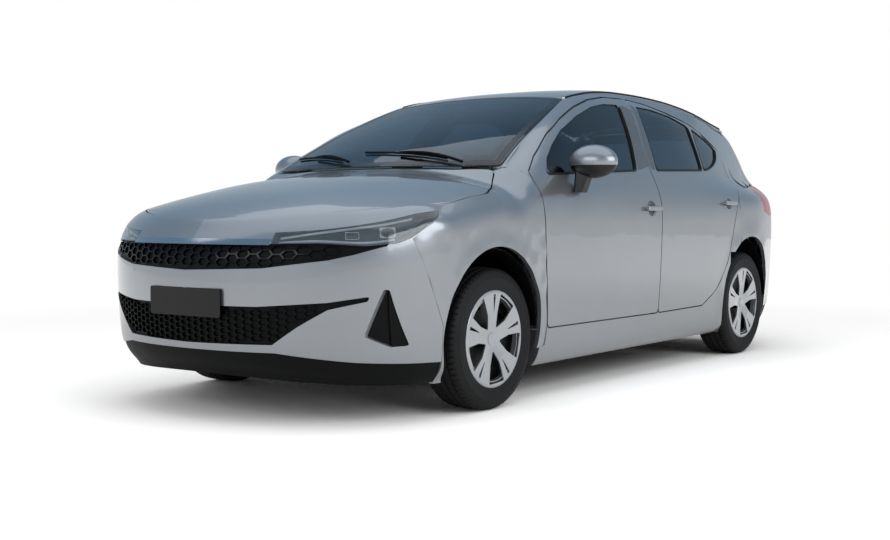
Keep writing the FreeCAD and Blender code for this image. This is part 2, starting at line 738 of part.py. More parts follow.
for points in (FRONT_DOOR, REAR_DOOR):
    gap = across_prism(grown(points, SHUT_GAP), 0, HALF_WIDTH + OVERRUN, DOOR_CORNER)
    outer = outer.cut(gap)
    way_in = across_prism(grown(points, -DOOR_MARGIN), 0, HALF_WIDTH + OVERRUN, DOOR_CORNER)
    lower = lower.cut(way_in)
    tight = across_prism(grown(points, -DOOR_MARGIN / 2), 0, HALF_WIDTH + OVERRUN, DOOR_CORNER)
    upper = upper.cut(tight)
arch_hole = rod(0, WHEELBASE, ARCH_Z, ARCH_RADIUS, HALF_WIDTH + OVERRUN, (1, 0, 0))
front_hole = rod(0, -ARCH_BACK, ARCH_Z, ARCH_RADIUS, HALF_WIDTH + OVERRUN, (1, 0, 0))
quarter = quarter.cut(across_prism(grown(REAR_DOOR, SHUT_GAP), 0, HALF_WIDTH + OVERRUN, DOOR_CORNER))
outer = outer.cut(across_prism(grown(FENDER, SEAM), 0, HALF_WIDTH + OVERRUN))
tyre_room = box(0, HALF_WIDTH - PANEL, 0, along(SILL_START_SHARE), 0, SILL_TOP)
side_frame = fused([outer, quarter, lower, upper, sill])
liner_room = rod(0, inner_d, ARCH_Z, inner_radius + SEAM, LINER_STEP + LINER + SEAM, (1, 0, 0))
side_frame = side_frame.cut([arch_hole, front_hole, screen_seat, roof_seat, tyre_room, liner_room])
side_frame = largest(side_frame)
save("side_frame_left", [side_frame])
save("side_frame_right", [mirrored(side_frame)])

# Front fenders, bonnet, nose and lamps
HOOD_PLATE = 14.0
HOOD_INNER = 22.0
HOOD_INSET = 60.0
NOSE_SHELL = 24.0
LAMP_DEEP = 55.0
NOSE_HEART_SHARE = -0.1
LAMP_LENS = 4.0
LAMP_WALL = 3.0
LAMP_BACK = 12.0
VALANCE_BACK = 6.0
FOG_BLADE_BACK = 4.0
LAMP_CORNER = 8.0
LAMP_INNER = 388.5
HOOD_CORNER = 30.0
fender_top_shares = (
    (0.7323, -0.6737), (0.7895, -0.5895), (0.8638, -0.4211), (0.8867, -0.32),
    (0.8867, -0.1684), (0.881, -0.0168), (0.8261, 0.029), (0.7632, 0.0641), (0.7323, 0.0927),
    (0.7551, 0.1136), (0.7437, 0.1545)
)
lamp_shares = (
    (-0.3853, 0.5605), (-0.5053, 0.5497, 9), (-0.6389, 0.5296, 9), (-0.8032, 0.5081, 9),
    (-1.0105, 0.4899), (-1.0105, 0.4698), (-0.82, 0.4745, 9), (-0.7263, 0.4677, 9),
    (-0.6211, 0.4745, 9), (-0.5621, 0.4899, 9)
)
grille_half_shares = (
    (0.0, 0.4019, 3), (0.4245, 0.4106, 9), (0.6945, 0.4321, 9), (0.7803, 0.4462, 9),
    (0.8787, 0.4691, 3), (0.865, 0.4785), (0.6407, 0.4812, 9), (0.46, 0.4785),
    (0.4531, 0.4704), (0.0, 0.4704)
)
bar_half_shares = (
    (0.0, 0.4698), (0.4439, 0.4698), (0.4439, 0.4852), (0.0, 0.4852)
)
lower_grille_half_shares = (
    (0.0, 0.3112, 3), (0.397, 0.3125, 9), (0.6922, 0.3253, 9), (0.8284, 0.3401),
    (0.8192, 0.3273), (0.6911, 0.3071, 3), (0.5721, 0.2621, 9), (0.4622, 0.2151), (0.0, 0.211)
)
fog_shares = (
    (0.8764, 0.3763), (0.8032, 0.2386), (0.8719, 0.2097), (0.9153, 0.211)
)
fog_outer_shares = (
    (0.8764, 0.3763), (0.8719, 0.2097), (0.9153, 0.211)
)
valance_shares = (
    (0.0, 0.1942), (0.4691, 0.1942), (0.7643, 0.1714), (0.9645, 0.1613), (1.0984, 0.1586),
    (1.0984, 0.0672), (0.0, 0.0672)
)
hood_half_shares = (
    (0.0, -0.8653, 3), (0.2174, -0.8505, 9), (0.4256, -0.8063, 9), (0.5721, -0.7389, 9),
    (0.6922, -0.6589, 9), (0.8009, -0.5474, 9), (0.881, -0.4211, 9), (0.9176, -0.3158, 9),
    (0.9188, -0.1684, 9), (0.9153, -0.0211, 9), (0.8604, 0.029, 9), (0.7975, 0.0641, 9),
    (0.7551, 0.0919), (0.5492, 0.0688, 9), (0.286, 0.0494, 9), (0.0, 0.0417)
)


hood_edge = curve([(along(p[1]), p[0] * HALF_WIDTH) for p in fender_top_shares])
LAMP = flank_points(lamp_shares)


def fender_peak(d):
    return hood_edge(d), deck_height(hood_edge(d), d)


wide = HALF_WIDTH + OVERRUN
nose_rows = dome((0, along(NOSE_HEART_SHARE), HEIGHT / 3), degrees(-DOME_PAST, 84), degrees(-22, 28))
lamp_hole = across_prism(grown(LAMP, SEAM), LAMP_INNER - SEAM, wide, LAMP_CORNER)
lamp_body = across_prism(LAMP, LAMP_INNER, wide, LAMP_CORNER)
fender_skin = flank(span(FENDER)[0] - OVERRUN, span(FENDER)[1] + OVERRUN, SILL_BELOW, fender_peak)
fender_hole = across_prism(FENDER, 0, wide)
HOOD = both_sides(plan_points(hood_half_shares))
hood_hole = tall_prism(grown(HOOD, SHUT_GAP), WAIST / 2, HEIGHT, HOOD_CORNER)
fender = layer(fender_skin, INWARD, 0, PANEL).common(fender_hole)
fender = fender.cut(front_hole).cut(lamp_hole).cut(hood_hole)
save("front_fender_left", [fender])
save("front_fender_right", [mirrored(fender)])

hood_face = deck(along(0) + HALF_WIDTH * 0.95, lambda x: along(-0.9), lambda x: along(0.12))
hood = layer(hood_face, DOWN, 0, HOOD_PLATE).common(tall_prism(HOOD, WAIST / 2, HEIGHT, HOOD_CORNER))
frame = layer(hood_face, DOWN, HOOD_PLATE / 2, HOOD_INNER).common(
    tall_prism(grown(HOOD, -HOOD_INSET), WAIST / 2, HEIGHT, HOOD_CORNER))
frame = frame.cut(tall_prism(grown(HOOD, -3 * HOOD_INSET), WAIST / 2, HEIGHT, HOOD_CORNER))
hood = fused([hood, frame])
save("hood", [hood])

# Front bumper: one wrap with the grille, lamp, bar and fog openings cut
GRILLE = both_sides(front_points(grille_half_shares))
LOWER = both_sides(front_points(lower_grille_half_shares))
BAR = both_sides(front_points(bar_half_shares))
FOG = front_points(fog_shares)
far = along(-1) - OVERRUN
near = along(-0.3)
arch_rear = rod(0, WHEELBASE, ARCH_Z, ARCH_RADIUS, wide, (1, 0, 0))
front_arch = rod(0, -ARCH_BACK, ARCH_Z, ARCH_RADIUS, wide, (1, 0, 0))


def whole(half):
    """Joins a left half to its mirror image."""
    half = half.common(box(0, wide, -LENGTH, LENGTH, 0, HEIGHT))
    return half.fuse(mirrored(half)).removeSplitter()


holes = [long_prism(GRILLE, far, near, LAMP_CORNER), long_prism(LOWER, far, near, LAMP_CORNER),
         long_prism(BAR, far, near), long_prism(FOG, far, near, LAMP_CORNER)]
nose_shell = shell(nose_rows, 0, NOSE_SHELL)
valance_body = long_prism(both_sides(front_points(valance_shares)), far, near)
bumper = nose_shell.cut([valance_body, hood_hole, lamp_hole, front_arch,
                         across_prism(grown(FENDER, SEAM), 0, wide),
                         box(-wide, wide, -NOSE_ROUND, LENGTH, 0, HEIGHT)] + holes)
save("front_bumper", [whole(largest(bumper))])
valance = shell(nose_rows, VALANCE_BACK, NOSE_SHELL).common(valance_body)
valance = valance.cut([front_arch, across_prism(grown(FENDER, SEAM), 0, wide),
                       box(-wide, wide, -NOSE_ROUND, LENGTH, 0, HEIGHT)])
save("front_valance", [whole(largest(valance))])
recess = shell(nose_rows, NOSE_SHELL / 2, NOSE_SHELL / 2)
grilles = []
for points in (GRILLE, LOWER):
    mesh = recess.common(long_prism(points, far, near, LAMP_CORNER))
    grilles.append(whole(mesh.cut([lamp_hole, long_prism(BAR, far, near)])))
fog = recess.common(long_prism(FOG, far, near, LAMP_CORNER))
blade = shell(nose_rows, FOG_BLADE_BACK, NOSE_SHELL).common(
    long_prism(front_points(fog_outer_shares), far, near))
blade = blade.common(long_prism(FOG, far, near, LAMP_CORNER))
fog = fused([fog, blade])
save("front_grille", grilles + [fog, mirrored(fog)])
bar = nose_shell.common(long_prism(BAR, far, near))
save("light_bar", [whole(bar)])
lamp_rows = dome((0, along(NOSE_HEART_SHARE), HEIGHT / 3), degrees(15, 84), degrees(6, 27))
lens = shell(lamp_rows, 0, LAMP_LENS).common(lamp_body)
save("headlamp_lenses", [lens, mirrored(lens)])
bowl = shell(lamp_rows, LAMP_LENS + SEAT_GAP, LAMP_DEEP - LAMP_LENS).common(lamp_body)
hollow = shell(lamp_rows, 0, LAMP_DEEP - LAMP_BACK).common(
    across_prism(grown(LAMP, -LAMP_WALL), LAMP_INNER + LAMP_WALL, wide, LAMP_CORNER))
bowl = largest(bowl.cut(hollow))
save("headlamps", [bowl, mirrored(bowl)])

# Windscreen, roof and rear end
ROOF_CORNER = 40.0
TAILGATE_PLATE = 22.0
TAILGATE_DEPTH = 55.0
REAR_SHELL = 24.0
REAR_BOTTOM = 230.0
TAIL_LAMP_DEEP = 50.0
rear_window_half_shares = (
    (0.0, 0.6962), (0.5149, 0.6962), (0.54, 0.7191, 3), (0.5217, 0.7728, 9), (0.4783, 0.8575),
    (0.0, 0.8683)
)
tail_lamp_shares = (
    (1.5273, 0.5397), (1.3238, 0.5598), (1.3065, 0.6082), (1.3412, 0.6465), (1.5844, 0.6653),
    (2.1303, 0.662), (2.1303, 0.5343)
)
TAIL_LAMP_INNER = 566.0
TAIL_LOW_SHARE = 0.39
TAIL_HIGH_SHARE = 0.9086
tail_edge_shares = (
    (0.3898, 0.6602), (0.6048, 0.6602), (0.672, 0.6499), (0.7392, 0.6201), (0.8065, 0.5835),
    (0.8575, 0.5584), (0.9086, 0.5469)
)
rear_valance_shares = (
    (0.0, 0.2634), (0.5378, 0.2634), (0.6178, 0.2218, 3), (0.8009, 0.1761), (1.0297, 0.168),
    (1.0297, 0.0403), (0.0, 0.0403)
)
screen = layer(screen_face, DOWN, 0, SCREEN).common(
    tall_prism(SCREEN_OUTLINE, WAIST, HEIGHT + OVERRUN, SCREEN_CORNER))
save("windscreen", [screen])
roof = layer(roof_face, DOWN, 0, ROOF_PLATE).common(
    tall_prism(ROOF, WAIST, HEIGHT + OVERRUN, ROOF_CORNER))
save("roof_panel", [roof])

rear = WHEELBASE
tail_edge = curve([(z * HEIGHT, x * HALF_WIDTH) for z, x in tail_edge_shares])
tail_face_rows = []
for z in steps(TAIL_LOW_SHARE * HEIGHT, TAIL_HIGH_SHARE * HEIGHT):
    row = []
    for x in steps(-HALF_WIDTH, HALF_WIDTH):
        start = (x / HALF_WIDTH * tail_edge(z), along(QUARTER_HEART_SHARE), z)
        row.append(reach_skin(start, BACK, LENGTH))
    tail_face_rows.append(row)
tail_face = surface(tail_face_rows)
gate_body = long_prism(TAILGATE, rear, LENGTH, LAMP_CORNER)
gate = layer(tail_face, FORWARD, 0, TAILGATE_PLATE).common(gate_body)
rear_glass_points = both_sides(front_points(rear_window_half_shares))
hole = long_prism(rear_glass_points, rear, LENGTH, DOOR_CORNER)
seat = long_prism(grown(rear_glass_points, GLASS_BITE), rear, LENGTH, DOOR_CORNER)
core = layer(tail_face, FORWARD, TAILGATE_PLATE / 2, TAILGATE_DEPTH).common(
    long_prism(grown(TAILGATE, -DOOR_INSET), rear, LENGTH, LAMP_CORNER)).cut(seat)
core = core.common(box(-wide, wide, rear, LENGTH, 0, WAIST))
pane = layer(tail_face, FORWARD, GLASS_DEPTH, GLASS).common(seat)
gate = gate.cut([hole, pane])
spoiler = layer(roof_face, DOWN, 0, ROOF_PLATE).common(
    tall_prism(SPOILER, WAIST, HEIGHT + OVERRUN, LAMP_CORNER))
gate = fused([gate, core, spoiler])
save("tailgate", [gate])
save("tailgate_glass", [pane])

TAIL_LAMP = flank_points(tail_lamp_shares)
QUARTER = flank_points(quarter_end_shares)
bumper_rows = dome((0, along(QUARTER_HEART_SHARE), HEIGHT / 2), degrees(180 + DOME_PAST, 118),
                   degrees(-36, 17))
tail_lamp_box = box(TAIL_LAMP_INNER, wide, rear, LENGTH, 0, HEIGHT)
lamp = shell(bumper_rows, 0, TAIL_LAMP_DEEP).common(across_prism(TAIL_LAMP, 0, wide, LAMP_CORNER))
lamp = lamp.common(tail_lamp_box)
save("tail_lamps", [lamp, mirrored(lamp)])
rear_shell = shell(bumper_rows, 0, REAR_SHELL)
rear_low = long_prism(both_sides(front_points(rear_valance_shares)), rear, LENGTH)
rear_valance = shell(bumper_rows, VALANCE_BACK, REAR_SHELL).common(rear_low).cut(arch_rear)
rear_valance = rear_valance.cut(across_prism(grown(QUARTER, SEAM), 0, wide))
save("rear_valance", [whole(largest(rear_valance))])
rear_bumper = rear_shell.cut(
    [rear_low, across_prism(grown(QUARTER, SEAM), 0, wide), arch_rear,
     across_prism(grown(TAIL_LAMP, SEAM), 0, wide, LAMP_CORNER),
     long_prism(grown(TAILGATE, SHUT_GAP), rear, LENGTH, LAMP_CORNER)])
save("rear_bumper", [whole(largest(rear_bumper))])

# Wheels: tyre, steel wheel with its cover, hub and brake disc
RIM_RADIUS = 190.0
BEAD_HALF = 78.0
TYRE_SHOULDER = 17.0
COVER_RADIUS = 206.0
COVER_OUT = 88.0
COVER_THICK = 7.0
RIM_WALL = 10.0
RIM_HALF = 78.0
DISC_OUT = 26.0
DISC_THICK = 9.0
HUB_RADIUS = 66.0
HUB_IN = 34.0
SPINDLE = 20.0
RUNNING = 0.3
BRAKE_RADIUS = 130.0
BRAKE_THICK = 20.0
SPOKES = 5
SPOKE_LEAN = 5.0
NUT_RADIUS = 38.0
NUT_OUT = 62.0
VENTS = 10
VENT_RING = 140.0
VENT_RADIUS = 15.0
CLIP_RADIUS = RIM_RADIUS - RIM_WALL - 0.4
CLIP_IN = 58.0
WELL_CORNER = 7.0
cover_dish_shares = (
    (0.0, 0.83), (0.17, 0.84), (0.24, 0.86), (0.5, 0.94), (0.88, 0.985), (0.94, 1.0), (0.98, 0.985),
    (1.0, 0.94)
)
well_shares = (  # (out along the spoke, across it), shares of the cover's radius
    (0.895, -0.27), (0.905, 0.0), (0.895, 0.27), (0.51, 0.165), (0.27, 0.02, 0.5), (0.27, -0.02, 0.5),
    (0.51, -0.165)
)
slot_shares = (
    (0.47, -0.045, 0.2), (0.9, -0.125, 0.5), (0.9, -0.045, 0.5)
)
tyre_profile_shares = (
    (0.0, 0.80), (0.16, 0.82), (0.34, 0.96), (0.56, 1.0), (0.78, 0.955), (0.9, 0.87), (0.97, 0.75),
    (1.0, 0.55)
)


def wheel_spin(profile, x, d):
    """Revolves a closed (radius, outward) profile about the axle line."""
    points = [spot(x + out, d, TYRE_RADIUS + radius) for radius, out in profile]
    face = Part.Face(Part.makePolygon(points + [points[0]]))
    return face.revolve(spot(x, d, TYRE_RADIUS), Vec(1, 0, 0), 360)


def tyre(x, d):
    wall = TYRE_RADIUS - RIM_RADIUS
    half = TYRE_WIDTH / 2
    edge = [(RIM_RADIUS + share * wall, out * half) for share, out in tyre_profile_shares]
    return wheel_spin(edge + [(radius, -out) for radius, out in reversed(edge)], x, d)


def wheel(x, d):
    """Steel wheel, spoked cover, hub and brake disc; outward is +X."""
    shell_in = RIM_RADIUS - RIM_WALL
    barrel = wheel_spin([(RIM_RADIUS, -RIM_HALF), (RIM_RADIUS, RIM_HALF), (shell_in, RIM_HALF),
                         (shell_in, -RIM_HALF)], x, d)
    disc = wheel_spin([(shell_in + RUNNING, DISC_OUT), (shell_in + RUNNING, DISC_OUT + DISC_THICK),
                       (SPINDLE + RUNNING, DISC_OUT + DISC_THICK), (SPINDLE + RUNNING, DISC_OUT)], x, d)
    hub = wheel_spin([(HUB_RADIUS, DISC_OUT), (HUB_RADIUS, -HUB_IN), (SPINDLE + RUNNING, -HUB_IN),
                      (SPINDLE + RUNNING, DISC_OUT)], x, d)
    brake = wheel_spin([(BRAKE_RADIUS, -HUB_IN), (BRAKE_RADIUS, -HUB_IN + BRAKE_THICK),
                        (HUB_RADIUS, -HUB_IN + BRAKE_THICK), (HUB_RADIUS, -HUB_IN)], x, d)
    nose_cap = rod(x + DISC_OUT, d, TYRE_RADIUS, NUT_RADIUS, NUT_OUT - DISC_OUT, (1, 0, 0))
    nose_cap = nose_cap.cut(rod(x, d, TYRE_RADIUS, SPINDLE + RUNNING, DISC_OUT + DISC_THICK, (1, 0, 0)))
    vents = []
    for i in range(VENTS):
        angle = 2 * math.pi * i / VENTS
        vents.append(rod(x, d + VENT_RING * math.cos(angle), TYRE_RADIUS + VENT_RING * math.sin(angle),
                         VENT_RADIUS, DISC_OUT + 2 * DISC_THICK, (1, 0, 0)))
    return fused([barrel, disc.cut(vents), hub, brake, nose_cap])


def cover(x, d):
    """Wheel cover: a dished disc cut into five twin blades, clipped inside the steel wheel."""
    face = [(radius, out) for radius, out in cover_dish_shares]
    face = [(radius * COVER_RADIUS, out * COVER_OUT) for radius, out in face]
    back = [(radius, out - COVER_THICK) for radius, out in reversed(face)]
    disc = wheel_spin(face + back, x, d)
    clip = wheel_spin([(CLIP_RADIUS, CLIP_IN), (CLIP_RADIUS, COVER_OUT - COVER_THICK),
                       (CLIP_RADIUS - COVER_THICK / 2, COVER_OUT - COVER_THICK),
                       (CLIP_RADIUS - COVER_THICK / 2, CLIP_IN)], x, d)
    wells = []
    for i in range(SPOKES):
        for table, turn in ((well_shares, 0.5), (slot_shares, 0.0)):
            points = [(along_spoke * COVER_RADIUS, across * COVER_RADIUS) + tuple(rest)
                      for along_spoke, across, *rest in table]
            wire = rounded(points, WELL_CORNER, lambda a, b: spot(x, d - b, TYRE_RADIUS + a))
            well = Part.Face(wire).extrude(Vec(COVER_OUT * 2, 0, 0))
            well.rotate(spot(x, d, TYRE_RADIUS), Vec(1, 0, 0), SPOKE_LEAN + 360 * (i + turn) / SPOKES)
            wells.append(well)
    return fused([disc.cut(wells), clip])


for name, x, d in (("front", TRACK_FRONT / 2, 0), ("rear", TRACK_REAR / 2, WHEELBASE)):
    rubber = tyre(x, d)
    rim = wheel(x, d)
    trim = cover(x, d)
    save("tyre_" + name + "_left", [rubber])
    save("tyre_" + name + "_right", [mirrored(rubber)])
    save("wheel_" + name + "_left", [rim])
    save("wheel_" + name + "_right", [mirrored(rim)])
    save("wheel_cover_" + name + "_left", [trim])
    save("wheel_cover_" + name + "_right", [mirrored(trim)])

# Front suspension: knuckle and strut turn together about the line from the ball joint
# to the top mount
BALL_X = 680.0
BALL_Z = 190.0
MOUNT_X = 565.0
MOUNT_Z = 835.0
STRUT_RADIUS = 22.0
STRUT_ROD = 10.0
SPRING_RADIUS = 56.0
SPRING_WIRE = 6.0
SPRING_LOW = 700.0
SPRING_TURNS = 4
KNUCKLE = 30.0
STUD = 10.0
STUD_LONG = 40.0
PLATE = 6.0
EYE = 22.0
TOWER_RADIUS = 78.0
TOWER_WALL = 4.0
lean = Vec(MOUNT_X - BALL_X, 0, MOUNT_Z - BALL_Z)
lean.normalize()
ball = spot(BALL_X, 0, BALL_Z)
mount = spot(MOUNT_X, 0, MOUNT_Z)


def on_kingpin(z):
    return ball + lean * ((z - BALL_Z) / lean.z)


hub_face = TRACK_FRONT / 2 - HUB_IN - PLATE
upright = box(BALL_X - EYE, hub_face, -KNUCKLE, KNUCKLE, BALL_Z + EYE, TYRE_RADIUS + 3 * KNUCKLE)
spindle = rod(hub_face - PLATE, 0, TYRE_RADIUS, SPINDLE, PLATE * 2 + HUB_IN + DISC_OUT, (1, 0, 0))
stud = Part.makeCylinder(STUD, STUD_LONG, ball - lean * STUD, lean)
low_tube = on_kingpin(TYRE_RADIUS + KNUCKLE)
tube = Part.makeCylinder(STRUT_RADIUS, (on_kingpin(SPRING_LOW + EYE) - low_tube).Length, low_tube, lean)
stem = Part.makeCylinder(STRUT_ROD, (mount - low_tube).Length, low_tube, lean)
cup = Part.makeCylinder(SPRING_RADIUS + SPRING_WIRE, PLATE, on_kingpin(SPRING_LOW), lean)
bump = Part.makeCylinder(SPRING_RADIUS + SPRING_WIRE, PLATE, on_kingpin(MOUNT_Z - 5 * PLATE), lean)
coil_long = (on_kingpin(MOUNT_Z - 5 * PLATE) - on_kingpin(SPRING_LOW)).Length
coils = []
for i in range(SPRING_TURNS):
    place = on_kingpin(SPRING_LOW) + lean * (coil_long * (i + 0.5) / (SPRING_TURNS + 0.5))
    coils.append(Part.makeCylinder(SPRING_RADIUS, 2 * SPRING_WIRE, place, lean))
sleeve = Part.makeCylinder(SPRING_RADIUS - SPRING_WIRE, coil_long, on_kingpin(SPRING_LOW), lean)
knuckle = fused([upright, spindle, stud, tube, stem, cup, bump, sleeve] + coils)
save("front_knuckle_left", [knuckle])
save("front_knuckle_right", [mirrored(knuckle)])

# Underbody, engine bay and cabin floor
floor_shares = (
    (-0.6865, 0.6865, 0.1176, 0.1336, 0.1129, 0.121),
    (-0.8051, 0.8051, 0.1333, 0.757, 0.1129, 0.121),
    (-0.8051, 0.8051, 0.7532, 0.7578, 0.1129, 0.2366),
    (-0.8051, 0.8051, 0.7532, 0.8633, 0.2285, 0.2366),
    (-0.5503, 0.5503, 0.8594, 1.5099, 0.2285, 0.2366),
    (-0.6407, 0.6407, 1.4603, 1.8648, 0.2285, 0.2366),
    (-0.1373, 0.1373, 0.1176, 0.757, 0.1176, 0.2016),
    (-0.6407, 0.6407, 1.8275, 1.8648, 0.2319, 0.3965)
)
firewall_shares = (
    (-0.5378, 0.5378, 0.1128, 0.1174, 0.1129, 0.6317),
    (-0.7323, 0.7323, 0.1128, 0.1174, 0.4704, 0.672),
    (-0.7323, 0.7323, 0.0386, 0.1159, 0.6015, 0.6095),
    (-0.7323, -0.5263, 0.1128, 0.1174, 0.3535, 0.4839),
    (0.5263, 0.7323, 0.1128, 0.1174, 0.3535, 0.4839)
)
rail_block_shares = (
    (-0.5492, -0.4577, -0.7895, 0.1126, 0.2218, 0.2957),
    (0.4577, 0.5492, -0.7895, 0.1126, 0.2218, 0.2957),
    (-0.5492, 0.5492, -0.8211, -0.7684, 0.2218, 0.2823),
    (-0.5492, -0.4577, 0.0888, 0.1126, 0.1109, 0.2251),
    (0.4577, 0.5492, 0.0888, 0.1126, 0.1109, 0.2251)
)


def blocks(shares):
    solids = []
    for x0, x1, d0, d1, z0, z1 in shares:
        solids.append(box(x0 * HALF_WIDTH, x1 * HALF_WIDTH, along(d0), along(d1),
                          z0 * HEIGHT, z1 * HEIGHT))
    return solids


def liner(x0, x1, d):
    """Wheelhouse: an arched roof and an inner wall."""
    arch = ring(x0, d, ARCH_Z, LINER_RADIUS, LINER_RADIUS - LINER, x1 - x0, (1, 0, 0))
    wall = rod(x0, d, ARCH_Z, LINER_RADIUS, LINER, (1, 0, 0))
    low = box(x0 - OVERRUN, x1 + OVERRUN, d - 2 * ARCH_RADIUS, d + 2 * ARCH_RADIUS, -ARCH_RADIUS, ARCH_Z)
    return fused([arch, wall]).cut(low)


LINER_IN = 481.0
front_outer = liner(LINER_STEP, HALF_WIDTH - PANEL - 2 * ARCH_LIFT / 3, -ARCH_BACK)
front_outer = front_outer.cut(
    rod(LINER_STEP - LINER, -ARCH_BACK, ARCH_Z, LINER_RADIUS - LINER, 3 * LINER, (1, 0, 0)))
front_inner = ring(LINER_IN, inner_d, ARCH_Z, inner_radius, inner_radius - LINER,
                   LINER_STEP - LINER_IN + LINER, (1, 0, 0))
front_inner = front_inner.fuse(rod(LINER_IN, inner_d, ARCH_Z, inner_radius, LINER, (1, 0, 0)))
step_ring = rod(LINER_STEP, inner_d, ARCH_Z, inner_radius, LINER, (1, 0, 0))
step_ring = step_ring.cut(rod(LINER_STEP, -ARCH_BACK, ARCH_Z, LINER_RADIUS - LINER, LINER, (1, 0, 0)))
front_liner = fused([front_outer, front_inner, step_ring])
front_liner = front_liner.cut(box(0, HALF_WIDTH, -2 * ARCH_RADIUS, 2 * ARCH_RADIUS, 0, ARCH_Z))
tower_foot = on_kingpin(ARCH_Z + ARCH_RADIUS - EYE)
tower_bore = Part.makeCylinder(TOWER_RADIUS, TOWER_RADIUS, on_kingpin(SPRING_LOW - 4 * PLATE), lean)
strut_hole = Part.makeCylinder(STRUT_RADIUS + 2 * PLATE, 4 * TOWER_RADIUS, on_kingpin(MOUNT_Z / 2), lean)
front_liner = front_liner.cut([strut_hole, tower_bore])
tower = Part.makeCylinder(TOWER_RADIUS, (mount - tower_foot).Length, tower_foot, lean)
inside = Part.makeCylinder(TOWER_RADIUS - TOWER_WALL, 2 * TOWER_RADIUS + EYE, tower_foot, lean)
tower = tower.cut(inside.common(box(0, HALF_WIDTH, -ARCH_RADIUS, ARCH_RADIUS, 0, MOUNT_Z - PLATE)))
stem_hole = Part.makeCylinder(STRUT_ROD + RUNNING, TOWER_RADIUS, on_kingpin(MOUNT_Z - TOWER_RADIUS / 2), lean)
tower = tower.cut(stem_hole)
front_liner = largest(fused([front_liner, tower]))
rear_liner = liner(LINER_IN, HALF_WIDTH - PANEL - FRAME_OUTER, WHEELBASE)
save("wheelhouse_liners", [front_liner, mirrored(front_liner), rear_liner, mirrored(rear_liner)])
save("floor_pan", [fused(blocks(floor_shares))])
save("firewall", [fused(blocks(firewall_shares))])
save("front_rails", [fused(blocks(rail_block_shares))])

subframe_shares = (
    (-0.4577, 0.4577, 0.0232, 0.1004, 0.1378, 0.1781),
    (-0.4577, -0.3776, -0.0632, 0.0348, 0.1243, 0.1781),
    (0.3776, 0.4577, -0.0632, 0.0348, 0.1243, 0.1781),
    (-0.4572, -0.3776, 0.0232, 0.0772, 0.1714, 0.2319),
    (0.3776, 0.4572, 0.0232, 0.0772, 0.1714, 0.2319),
    (-0.5378, 0.5378, 0.0502, 0.0695, 0.1781, 0.205)
)
arm_half_shares = (
    (0.4119, -0.0526), (0.5378, -0.0358), (0.7895, -0.0189), (0.7895, 0.007), (0.5492, 0.0502),
    (0.4119, 0.0676)
)
arm = Part.Face(rounded(plan_points(arm_half_shares), EYE, lambda x, d: spot(x, d, BALL_Z - PLATE * 2)))
arm = arm.extrude(Vec(0, 0, PLATE * 2))
eye = Part.makeCylinder(EYE, STUD_LONG / 2, ball - lean * STUD_LONG / 2, lean)
bore = Part.makeCylinder(STUD + RUNNING, STUD_LONG * 2, ball - lean * STUD_LONG, lean)
half = fused([arm, eye]).cut(bore)
save("front_subframe", [fused(blocks(subframe_shares) + [half, mirrored(half)])])

# Rear axle: trailing arms, cross beam, spindles, springs and dampers
rear_axle_shares = (
    (-0.6407, 0.6407, 0.8884, 0.9193, 0.168, 0.2198),
    (0.5721, 0.6522, 0.8034, 1.0633, 0.168, 0.2198),
    (-0.6522, -0.5721, 0.8034, 1.0633, 0.168, 0.2198),
    (0.5492, 0.6865, 0.7957, 0.8188, 0.1579, 0.2283),
    (-0.6865, -0.5492, 0.7957, 0.8188, 0.1579, 0.2283),
    (0.4119, 0.595, 0.9424, 0.9888, 0.1613, 0.1761),
    (-0.595, -0.4119, 0.9424, 0.9888, 0.1613, 0.1761)
)
REAR_SPRING_X = 418.0
REAR_SPRING_SHARE = 0.965
SPRING_SEAT = 339.7
axle_parts = blocks(rear_axle_shares)
rear_hub_face = TRACK_REAR / 2 - HUB_IN - PLATE
stub = rod(EYE * 23, WHEELBASE, TYRE_RADIUS, SPINDLE * 1.6, rear_hub_face - EYE * 23, (1, 0, 0))
stub = stub.fuse(rod(rear_hub_face - PLATE, WHEELBASE, TYRE_RADIUS, SPINDLE,
                     PLATE * 2 + HUB_IN + DISC_OUT, (1, 0, 0)))
spring_foot = BALL_Z + EYE * 2
spring = rod(REAR_SPRING_X, along(REAR_SPRING_SHARE), spring_foot, SPRING_RADIUS,
             SPRING_SEAT - spring_foot, (0, 0, 1))
save("rear_axle", [fused(axle_parts + [stub, mirrored(stub), spring, mirrored(spring)])])

heavy_shares = (
    (-0.4348, 0.3776, -0.5474, -0.1158, 0.1613, 0.5108),
    (0.3776, 0.4571, -0.3579, -0.2316, 0.2319, 0.2856),
    (-0.4571, -0.4348, -0.3579, -0.2316, 0.2319, 0.2856)
)
save("engine_block", [fused(blocks(heavy_shares))])
radiator_shares = (
    (-0.389, 0.389, -0.7679, -0.7263, 0.1613, 0.4301),
)
save("radiator", [fused(blocks(radiator_shares))])
tank_shares = (
    (-0.492, 0.492, 0.7628, 0.8768, 0.131, 0.2282),
)
save("fuel_tank", [fused(blocks(tank_shares))])
exhaust_shares = (
    (-0.2059, -0.1373, -0.1154, 1.3859, 0.0753, 0.1075),
    (-0.2059, -0.1373, 1.3486, 1.4107, 0.0753, 0.1747),
    (-0.4805, -0.0686, 1.361, 1.696, 0.1344, 0.2218),
    (-0.4577, -0.4005, 1.6836, 1.8139, 0.1445, 0.1747),
    (-0.2059, -0.1373, -0.1154, -0.0632, 0.0753, 0.1747)
)
save("exhaust", [fused(blocks(exhaust_shares))])
dash_shares = (
    (0.1182, 0.4704), (0.1182, 0.662, 9), (0.1622, 0.6653), (0.2008, 0.6505, 9),
    (0.2317, 0.6216), (0.2402, 0.5914), (0.2317, 0.5376), (0.2163, 0.4704, 9),
    (0.2008, 0.4301)
)
DASH_HALF = 684.0
DASH_CORNER = 30.0
